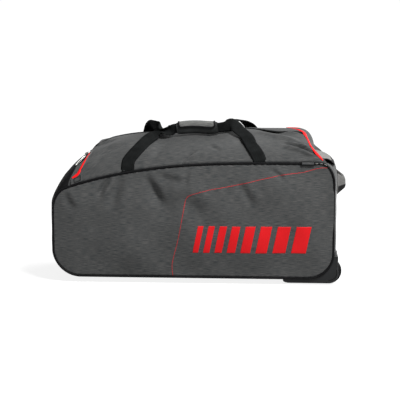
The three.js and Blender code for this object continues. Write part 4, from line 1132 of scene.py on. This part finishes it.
# Columns: x, angle round the gusset in degrees, lift off the top, turn on edge in degrees, width
FRONT_STRAP = [
    (-196, -90, 0.8, 0, WIDE), (-195.5, -84, 2, 0, WIDE), (-194.5, -75, LYING, 0, WIDE),
    (-191.5, -70, 2.8, 2, WIDE), (-180, -62, 3.4, 4, WIDE), (-166, -53, 4.5, 8, WIDE),
    (-152, -43, 6.5, 12, WIDE), (-138, -33, 9, 15, WIDE), (-124, -27, 12, 10, WIDE),
    (-111, -25.5, 16, 0, WIDE), (-99, -26, 19, -8, 36), (-86, -27.4, 22, 45, 31), (-75, -28, 24, 85, 31),
    *[(x, GRIP_ANGLE - GRIP_SPLIT, grip_lift(x), 90, GATHERED) for x in GRIP_STATIONS],
    (84, -28, 22, 86, 33), (96, -28, 26, 66, WIDE), (110, -29, 21, 34, WIDE), (122, -32, 12, 14, WIDE),
    (138, -38, 5.5, 7, WIDE), (146, -46, 4.8, 8, WIDE), (152, -52, LYING, -1, WIDE),
    (160, -61, LYING, 0, WIDE), (173, -74, LYING, 0, WIDE), (180, -84, 2, 0, WIDE), (182, -90, 0.8, 0, WIDE),
]
BACK_STRAP = [
    (-195, 90, 0.8, 0, WIDE), (-195, 84, 2, 0, WIDE), (-192, 71, LYING, 0, WIDE), (-184, 60, LYING, 0, WIDE),
    (-175, 48, LYING, 0, WIDE), (-166, 34, 5, 0, WIDE), (-157, 21, 12, -12, WIDE), (-148, 10, 18, -60, WIDE),
    (-134, -3, 17, -80, WIDE), (-122, -9, 17, -82, WIDE), (-111, -13, 18, -74, WIDE),
    (-101, -19, 17, -20, 36), (-86, -24, 20, -50, 31),
    *[(x, GRIP_ANGLE + GRIP_SPLIT, grip_lift(x), -90, GATHERED) for x in GRIP_STATIONS],
    (88, -23, 22, -60, 31), (104, -14, 25, -10, 34), (120, -3, 24, 6, 36), (134, 8, 17, 6, WIDE),
    (147, 22, 8, 0, WIDE), (157, 36, 3, 0, WIDE), (163, 50, LYING, 0, WIDE), (168, 61, LYING, 0, WIDE),
    (174, 72, 2.8, 0, WIDE), (181, 83, 2, 0, WIDE), (183, 90, 0.8, 0, WIDE),
]


def along_rows(rows, count):
    """A table's columns read smoothly between its rows: a Catmull-Rom curve through each column."""
    table = np.array(rows, float)
    at = np.linspace(0, len(table) - 1, count)
    row = np.minimum(at.astype(int), len(table) - 2)
    t = (at - row)[:, None]
    before, start, end, after = (table[np.clip(row + step, 0, len(table) - 1)] for step in (-1, 0, 1, 2))
    square = 2 * before - 5 * start + 4 * end - after
    cube = 3 * start - before - 3 * end + after
    return (start + 0.5 * ((end - before) * t + square * t ** 2 + cube * t ** 3)).T


def tape_rings(centre, wide, thick, width, thickness):
    """A flat tape along a path: each ring runs over the face and back under it, with rounded edges."""
    over = np.linspace(-1, 1, 13)
    across = np.concatenate([over, over[-2:0:-1]])
    through = np.concatenate([np.sqrt(1 - over ** 16), -np.sqrt(1 - over[-2:0:-1] ** 16)])
    reach = (width / 2)[:, None, None] * across[None, :, None] * wide[:, None]
    return centre[:, None] + reach + thickness / 2 * through[None, :, None] * thick[:, None]


def black_webbing():
    """Nylon webbing: tight ribs across the tape and a dull gloss. The 1 mm ribs are drawn at 2.2 mm, and the
    cords along it at 4.2 mm."""
    material, tree = new_material("black_nylon_webbing")
    cut = flat_place(tree)
    ribs = threads(tree, cut, pitch_m=0.0022, wander=0.4, axis="X")
    cords = threads(tree, cut, pitch_m=0.0042, wander=0.3, axis="Y")
    weave = add(tree, "ShaderNodeMath", {0: ribs, 1: cords}, operation="ADD").outputs["Value"]
    dust = noise(tree, cut, per_metre=55.0, detail=4.0)
    return coated(material, {
        "Base Color": mottled(tree, srgb("#0e0f0f"), dust, 0.75, 1.3), "Roughness": 0.6, "IOR": 1.53,
        "Specular IOR Level": 0.01, "Normal": bumped(tree, weave, strength=0.45, deep_m=0.0005)})


WEBBING = black_webbing()
for name, rows in (("front", FRONT_STRAP), ("back", BACK_STRAP)):
    x, angle, lift, turn, width = along_rows(rows, 221)
    centre, normal = over_top(x, np.radians(angle), lift)
    along = unit(np.gradient(centre, axis=0))
    flat = unit(np.cross(along, normal))
    turn = np.radians(turn)[:, None]
    wide = flat * np.cos(turn) + np.cross(along, flat) * np.sin(turn)
    grid = tape_rings(centre, wide, np.cross(along, wide), width, STRAP_THICK)
    tube(f"carry_strap_{name}_webbing", grid, WEBBING, "webbing", f"carry_strap_{name}")

# Grip
# A padded sleeve that wraps both straps: black cloth below, a heather pad over the top, bound all round.
GRIP_HALF_LENGTH = 59.0
GRIP_HALF_HEIGHT = 19.0
GRIP_HALF_DEPTH = 13.0
GRIP_END_DRAWN = 0.12
SLEEVE_GROW = -1.0
PAD_GROW = 0.8
PAD_THICK = 1.6
PAD_HALF_LENGTH = 51
PAD_CORNER = 7
PAD_CORNER_FROM = 0.82
PAD_BACK_ANGLE = 25
PAD_FRONT_ANGLE = 168
PAD_BINDING_HALF_WIDTH = 2.6
PAD_BINDING_HALF_THICK = 1.5


def grip_point(x, angle, grow):
    """A point of the sleeve: a rounded ring round the straps at each x, drawn in at the sleeve's ends."""
    x, angle = np.broadcast_arrays(x, angle)
    centre, normal = over_top(x, np.radians(GRIP_ANGLE), grip_lift(x))
    across = unit(np.array([0.0, 1.0, 0.0]) - normal * normal[..., 1:2])
    drawn = 1 - GRIP_END_DRAWN * np.abs(x / GRIP_HALF_LENGTH) ** 6
    side, top = (np.sign(part) * np.abs(part) ** (2 / 3) for part in (np.cos(angle), np.sin(angle)))
    reach_side = (GRIP_HALF_DEPTH * drawn + grow) * side
    reach_top = (GRIP_HALF_HEIGHT * drawn + grow) * top
    return centre + reach_side[..., None] * across + reach_top[..., None] * normal


def pad_place(along, down):
    """x and angle on the sleeve of a place on the pad, from -1 to 1 along it and 0 to 1 from back to front,
    with the pad's front corners rounded off."""
    corner = 1 - np.sqrt(1 - np.clip((down - PAD_CORNER_FROM) / (1 - PAD_CORNER_FROM), 0, 1) ** 2)
    angle = np.radians(lerp(PAD_BACK_ANGLE, PAD_FRONT_ANGLE, down))
    return along * (PAD_HALF_LENGTH - PAD_CORNER * corner), angle


SLEEVE_NYLON = woven_black("padded_black_nylon", "#1d1e1e", thread_m=0.0018, roughness=0.6)
sleeve_x = np.linspace(-GRIP_HALF_LENGTH, GRIP_HALF_LENGTH, 61)[:, None]
sleeve_turn = np.linspace(0, 2 * np.pi, 48, endpoint=False)[None, :]
sleeve_grid = grip_point(sleeve_x, sleeve_turn, SLEEVE_GROW)
sleeve = tube("grip_sleeve", sleeve_grid, SLEEVE_NYLON, "black_cloth", "grip_wrap")

pad_places = pad_place(np.linspace(-1, 1, 61)[:, None], np.linspace(0, 1, 31)[None, :])
pad_grid = grip_point(*pad_places, PAD_GROW)
pad_middle = pad_grid.mean(axis=(0, 1)) - np.array([0.0, 0.0, 20.0])
pad = surface("grip_pad", pad_grid, flat_cut(pad_grid, 0), middle=pad_middle)
# The pad's canvas is the panels' heather drawn paler: painted light for the light from above on its top.
PAD_LIT_CANVAS = heather_canvas("grip_heather_painted_lit", "#2a2d2d", "#585755")
dress(cloth_wall(pad, PAD_THICK), PAD_LIT_CANVAS, "heather_cloth")

border_along = np.concatenate([np.linspace(-1, 1, 60), np.ones(40), np.linspace(1, -1, 60), -np.ones(40)])
border_down = np.concatenate([np.ones(60), np.linspace(1, 0, 40), np.zeros(60), np.linspace(0, 1, 40)])
border_at = even_points(grip_point(*pad_place(border_along, border_down), PAD_GROW), 301)[:-1]
border_up = unit(border_at - sleeve_grid.mean(axis=(0, 1)) * [0, 1, 1] - border_at * [1, 0, 0])
border_across = unit(np.cross(loop_along(border_at), border_up))
border_grid = swept(border_at, border_across, border_up, PAD_BINDING_HALF_WIDTH, PAD_BINDING_HALF_THICK, 10)
tube("grip_pad_binding", border_grid, BLACK_BINDING, "black_cloth", ring=True)

# Zip sliders and pulls
# Nickel-plated sliders at the left ends of both zips, each with a wire loop for a pull.
SLIDER_X = -332.0
SLIDER_ANGLE = np.radians(16.0)
SLIDER_HALF_LENGTH = 6.0
SLIDER_HALF_WIDTH = 5.0
SLIDER_HALF_HEIGHT = 2.6
SLIDER_LIFT = 3.6
PULL_WIRE = 1.2
# Columns: x, angle round the gusset in degrees, lift off the top, half width
PULL_ROWS = [
    (-333, 24, 3, 2.5), (-335, 29, 3.2, 4.2), (-340, 35, 3.2, 4.6), (-346, 41, 3, 4.6), (-352, 46, 2.6, 3.6),
]


def scuffed_metal(name, colour, per_metre, detail, gloss):
    """Plated metal: a soft reflection, with its roughness going between two values over fine scuffs."""
    material, tree = new_material(name)
    place = add(tree, "ShaderNodeTexCoord").outputs["Object"]
    scuffs = noise(tree, place, per_metre, detail)
    return coated(material, {
        "Base Color": srgb(colour), "Metallic": 1.0, "Roughness": mapped(tree, scuffs, 0.0, 1.0, *gloss)})


NICKEL = scuffed_metal("nickel_plated_zinc", "#b4b4b0", per_metre=600.0, detail=4.0, gloss=(0.2, 0.42))
for side, name in SIDES:
    x = np.linspace(SLIDER_X - SLIDER_HALF_LENGTH, SLIDER_X + SLIDER_HALF_LENGTH, 17)
    taper = np.sqrt(1 - 0.6 * np.abs((x - SLIDER_X) / SLIDER_HALF_LENGTH) ** 4)
    centre, normal = over_top(x, side * SLIDER_ANGLE, SLIDER_LIFT)
    across = unit(np.array([0.0, 1.0, 0.0]) - normal * normal[:, 1:2])
    half_width = SLIDER_HALF_WIDTH * taper
    grid = swept(centre, across, normal, half_width, SLIDER_HALF_HEIGHT * taper, 16, power=3.0)
    tube(f"zip_slider_{name}_body", grid, NICKEL, "zip_metal", f"zip_slider_{name}")
    x, angle, lift, half = along_rows(PULL_ROWS, 41)
    centre, normal = over_top(x, side * np.radians(angle), lift)
    across = unit(np.cross(unit(np.gradient(centre, axis=0)), normal))
    beside = across * (half - PULL_WIRE)[:, None]
    loop = np.concatenate([centre + beside, (centre - beside)[::-1]])
    loop = even_points(np.concatenate([loop, loop[:1]]), 121)[:-1]
    loop_up = np.broadcast_to(unit(normal.mean(axis=0)), loop.shape)
    grid = swept(loop, unit(np.cross(loop_along(loop), loop_up)), loop_up, PULL_WIRE, PULL_WIRE, 10)
    tube(f"zip_pull_{name}_loop", grid, NICKEL, "zip_metal", f"zip_pull_{name}", ring=True)

# Wheel housings
# Moulded polypropylene guards that wrap the low corners at the wheel end, each with a slot for its wheel
# and a near-black band round it on the outer face: painted shade for a groove.
WELL_RADIUS = 40.5
WELL_HALF = 14.0
WELL_EDGE = 0.4
HOUSING_INNER = 112
HOUSING_OUTER = 176
HOUSING_ROUNDING = 4
HOUSING_LOW = 5
HOUSING_HIGH = 87
HOUSING_LEFT = 249
HOUSING_RIGHT = 406
CHEEK_CENTRE = np.array([WHEEL_X, 32.0])
CHEEK_RADIUS = 27
SLOT_START = (355.2, HOUSING_LOW)
SLOT_END = (HOUSING_RIGHT, 68)
GROOVE_RADIUS = 22.5
GROOVE_HALF_WIDTH = 1.5
GROOVE_HALF_DEPTH = 0.4


def moulded_plastic(name, colour, roughness):
    """Moulded polypropylene: a fine spark-eroded grain with a soft gloss, paler and darker in broad patches.
    The 0.2 mm grain is drawn at 1 mm."""
    material, tree = new_material(name)
    place = add(tree, "ShaderNodeTexCoord").outputs["Object"]
    grain = noise(tree, place, per_metre=1000.0, detail=3.0)
    wear = noise(tree, place, per_metre=30.0, detail=4.0)
    return coated(material, {
        "Base Color": mottled(tree, srgb(colour), wear, 0.8, 1.25), "Roughness": roughness, "IOR": 1.49,
        "Specular IOR Level": 0.18, "Normal": bumped(tree, grain, strength=0.25, deep_m=0.0003)})


def bend(start, corner, end):
    """A rounded corner of the outline: a quadratic curve from start to end, drawn towards the corner."""
    t = np.linspace(0, 1, 9)[:, None]
    start, corner, end = np.array([start, corner, end], float)
    return (1 - t) ** 2 * start + 2 * t * (1 - t) * corner + t ** 2 * end


def circle_points(turn):
    """Points of the unit circle."""
    return np.stack([np.cos(turn), np.sin(turn)], -1)


def housing_sections():
    """The guard's outline seen from the side, as x and z, and the same outline with the wheel's slot: there
    the stretch round the low right corner becomes an arc over the wheel."""
    toe = bend((HOUSING_LEFT, 13), (HOUSING_LEFT, HOUSING_LOW), (271, HOUSING_LOW))
    heel = bend((HOUSING_RIGHT, 79), (HOUSING_RIGHT, HOUSING_HIGH), (398, HOUSING_HIGH))
    sole = np.linspace((285, HOUSING_LOW), SLOT_START, 8)
    top = np.linspace((390, HOUSING_HIGH), (325, HOUSING_HIGH), 6)
    before = np.concatenate([[(HOUSING_LEFT, 35)], toe, sole])
    after = np.concatenate([[SLOT_END], heel, top])
    cheek = CHEEK_CENTRE + CHEEK_RADIUS * circle_points(np.radians(np.linspace(-90, 15, 25)))
    over_slot = even_points(np.concatenate([[SLOT_START], cheek, [SLOT_END]]), 42)[1:-1]
    sweep = np.radians(np.linspace(232, 50, 42))[1:-1]
    arch = np.array([WHEEL_X, WHEEL_RADIUS]) + WELL_RADIUS * circle_points(sweep)
    return np.concatenate([before, over_slot, after]), np.concatenate([before, arch, after])


def inset_outline(outline, inset):
    """A closed outline moved in along its own normals."""
    along = loop_along(outline)
    return outline + inset * np.stack([-along[:, 1], along[:, 0]], -1)


def rounded_end(outline, y, towards):
    """Sections that round off an end of the guard, from its face in to its full outline."""
    turn = np.radians(np.linspace(0, 90, 6))
    insets = HOUSING_ROUNDING * (1 - np.sin(turn))
    steps = HOUSING_ROUNDING * (1 - np.cos(turn))
    return [(y + towards * step, inset_outline(outline, inset)) for inset, step in zip(insets, steps)]


HOUSING_PLASTIC = moulded_plastic("moulded_polypropylene", "#0d0e0f", roughness=0.45)
# A near-black, rough copy of the plastic for the band along the groove: painted shade.
GROOVE_SHADE = moulded_plastic("polypropylene_painted_groove_shade", "#020202", roughness=0.9)
solid_section, slot_section = housing_sections()
slot_sections = [
    (WHEEL_Y - WELL_HALF - WELL_EDGE, solid_section), (WHEEL_Y - WELL_HALF, slot_section),
    (WHEEL_Y + WELL_HALF, slot_section), (WHEEL_Y + WELL_HALF + WELL_EDGE, solid_section),
]
inner_end = rounded_end(solid_section, HOUSING_INNER, 1)
outer_end = rounded_end(solid_section, HOUSING_OUTER, -1)[::-1]
housing_rings = inner_end + slot_sections + outer_end
groove_circle = circle_points(np.radians(np.linspace(-95, 20, 61)))
groove_line = np.array([WHEEL_X, WHEEL_RADIUS]) + GROOVE_RADIUS * groove_circle
groove_outward = np.insert(groove_circle, 1, 0.0, axis=1)
groove_depthwise = np.broadcast_to([0.0, 1.0, 0.0], groove_outward.shape)
for side, name in SIDES:
    grid = np.stack([np.insert(section, 1, side * y, axis=1) for y, section in housing_rings])
    tube(f"wheel_housing_{name}_guard", grid, HOUSING_PLASTIC, "moulded_plastic", f"wheel_housing_{name}")
    groove_at = np.insert(groove_line, 1, side * HOUSING_OUTER, axis=1)
    grid = swept(
        groove_at, groove_outward, groove_depthwise, GROOVE_HALF_WIDTH, GROOVE_HALF_DEPTH, 8, power=3.0)
    tube(f"wheel_housing_{name}_groove_shade", grid, GROOVE_SHADE, "moulded_plastic")

# Wheels
# A rubber tyre on a moulded hub with a recessed web, on a steel pin through the housing.
TREAD_LENGTH = 232
CORNER_CUT = 0.2
# Columns: radius, place along the axle
TYRE_PROFILE = [
    (24.3, -10), (33, -11), (36.4, -8.5), (37, -4.5), (36, -3.6), (36, -2.6), (37, -1.7), (37, 1.7),
    (36, 2.6), (36, 3.6), (37, 4.5), (36.4, 8.5), (33, 11), (24.3, 10),
]
HUB_PROFILE = [
    (4.4, -8.5), (10, -8.5), (12, -3.5), (20, -3.5), (24, -8.5), (24, 8.5), (20, 3.5), (12, 3.5),
    (10, 8.5), (4.4, 8.5),
]


def black_rubber():
    """Solid polyurethane rubber: dull, dusty, slightly uneven."""
    material, tree = new_material("solid_rubber")
    place = add(tree, "ShaderNodeTexCoord").outputs["Object"]
    dust = noise(tree, place, per_metre=90.0, detail=5.0)
    return coated(material, {
        "Base Color": mottled(tree, srgb("#0b0b0c"), dust, 0.8, 1.4), "Roughness": 0.75, "IOR": 1.52,
        "Specular IOR Level": 0.1, "Normal": bumped(tree, dust, strength=0.2, deep_m=0.0004)})


def turned(profile, side, steps=72):
    """A closed profile of radius and place along the axle, spun round the wheel's axis."""
    angle = np.linspace(0, 2 * np.pi, steps, endpoint=False)[:, None]
    radius, along = np.array(profile, float).T
    return np.stack(np.broadcast_arrays(
        WHEEL_X + radius * np.cos(angle), side * WHEEL_Y + along, WHEEL_RADIUS + radius * np.sin(angle)), -1)


def rounded_profile(profile):
    """A closed outline with its corners rounded: every corner is cut off twice, a fifth of the way along
    each side."""
    points = np.array(profile, float)
    for _ in range(2):
        following = np.roll(points, -1, axis=0)
        cuts = [lerp(points, following, CORNER_CUT), lerp(points, following, 1 - CORNER_CUT)]
        points = np.stack(cuts, axis=1).reshape(-1, 2)
    return points


RUBBER = black_rubber()
HUB_PLASTIC = moulded_plastic("moulded_nylon_hub", "#121314", roughness=0.45)
STEEL = scuffed_metal("zinc_plated_steel", "#b9b9b6", per_metre=800.0, detail=3.0, gloss=(0.25, 0.45))
WHEEL_PARTS = [
    ("tyre", TYRE_PROFILE, RUBBER, "wheel_rubber"),
    ("hub", HUB_PROFILE, HUB_PLASTIC, "hub_plastic"),
]
for side, name in SIDES:
    for part, profile, material, slot in WHEEL_PARTS:
        grid = turned(rounded_profile(profile), side)
        around_profile = running(np.concatenate([grid[0], grid[0, :1]]))
        cut = np.stack(np.meshgrid(np.linspace(0, TREAD_LENGTH, 73), around_profile, indexing="ij"), -1)
        piece = surface(f"wheel_{part}_{name}_turned", grid, cut, closed=(True, True))
        dress(piece, material, slot, f"wheel_{part}_{name}", body=f"{name}_wheel")
    axle = bpy.data.objects[f"wheel_axle_{name}"]
    axle.data.materials.clear()
    axle.data.materials.append(STEEL)

# Printed line and bars
# Red ink on the front panel: a thin line up from the base that turns along under the top seam, and a plain
# row of slanted bars low on the right, each wider than the last.
PRINT_LIFT = 0.35
INK_THICK = 0.3
LINE_HALF = 0.5
BAR_LOW = 93.0
BAR_HIGH = 170.0
BAR_SLANT = 16.0
# Columns: x, z
LINE_POINTS = [
    (-67, 24), (-68.8, 48), (-66.5, 68), (-50.6, 130), (-39.2, 187), (-31, 233), (-27.5, 246), (-20, 255),
    (-2, 262.5), (38, 273), (74, 279), (135, 291), (175, 301), (214, 310), (252, 318), (302, 324),
    (348, 336), (376, 337),
]
# Columns: x of the low left corner, width
BARS = [(-9, 16), (21, 18), (53, 21), (88, 24), (127, 28), (170, 32), (218, 37), (271, 42)]


def red_ink():
    """Screen-printed plastisol: vivid, smooth and slightly glossy over the weave."""
    material, tree = new_material("red_plastisol_ink")
    cut = flat_place(tree)
    tooth = noise(tree, cut, per_metre=500.0, detail=3.0)
    patches = noise(tree, cut, per_metre=30.0, detail=2.0)
    return coated(material, {
        "Base Color": mottled(tree, srgb("#94070c"), patches, 0.95, 1.05), "Roughness": 0.55, "IOR": 1.5,
        "Specular IOR Level": 0.1, "Normal": bumped(tree, tooth, strength=0.2, deep_m=0.0004)})


def printed(name, x, z):
    """A patch of ink over the front panel's face."""
    out = PANEL_PLANE + panel_relief(x, z, FRONT_FOLDS, FRONT_SEED) + PRINT_LIFT
    patch = surface(name, np.stack([x, -out, z], -1), np.stack([x, z], -1), middle=BAG_MIDDLE)
    dress(cloth_wall(patch, INK_THICK), RED_INK, "red_trim")


RED_INK = red_ink()
line = even_points(along_rows(LINE_POINTS, 400).T, 501)
line_along = unit(np.gradient(line, axis=0))
line_across = np.linspace(-LINE_HALF, LINE_HALF, 3)[None, :]
line_x = line[:, :1] - line_along[:, 1:] * line_across
line_z = line[:, 1:] + line_along[:, :1] * line_across
printed("printed_line", line_x, line_z)

bar_up = np.linspace(0, 1, 33)[:, None]
bar_across = np.linspace(0, 1, 17)[None, :]
for number, (start, width) in enumerate(BARS, 1):
    x = start + BAR_SLANT * bar_up + width * bar_across
    printed(f"printed_bar_{number}", x, np.broadcast_to(lerp(BAR_LOW, BAR_HIGH, bar_up), x.shape))
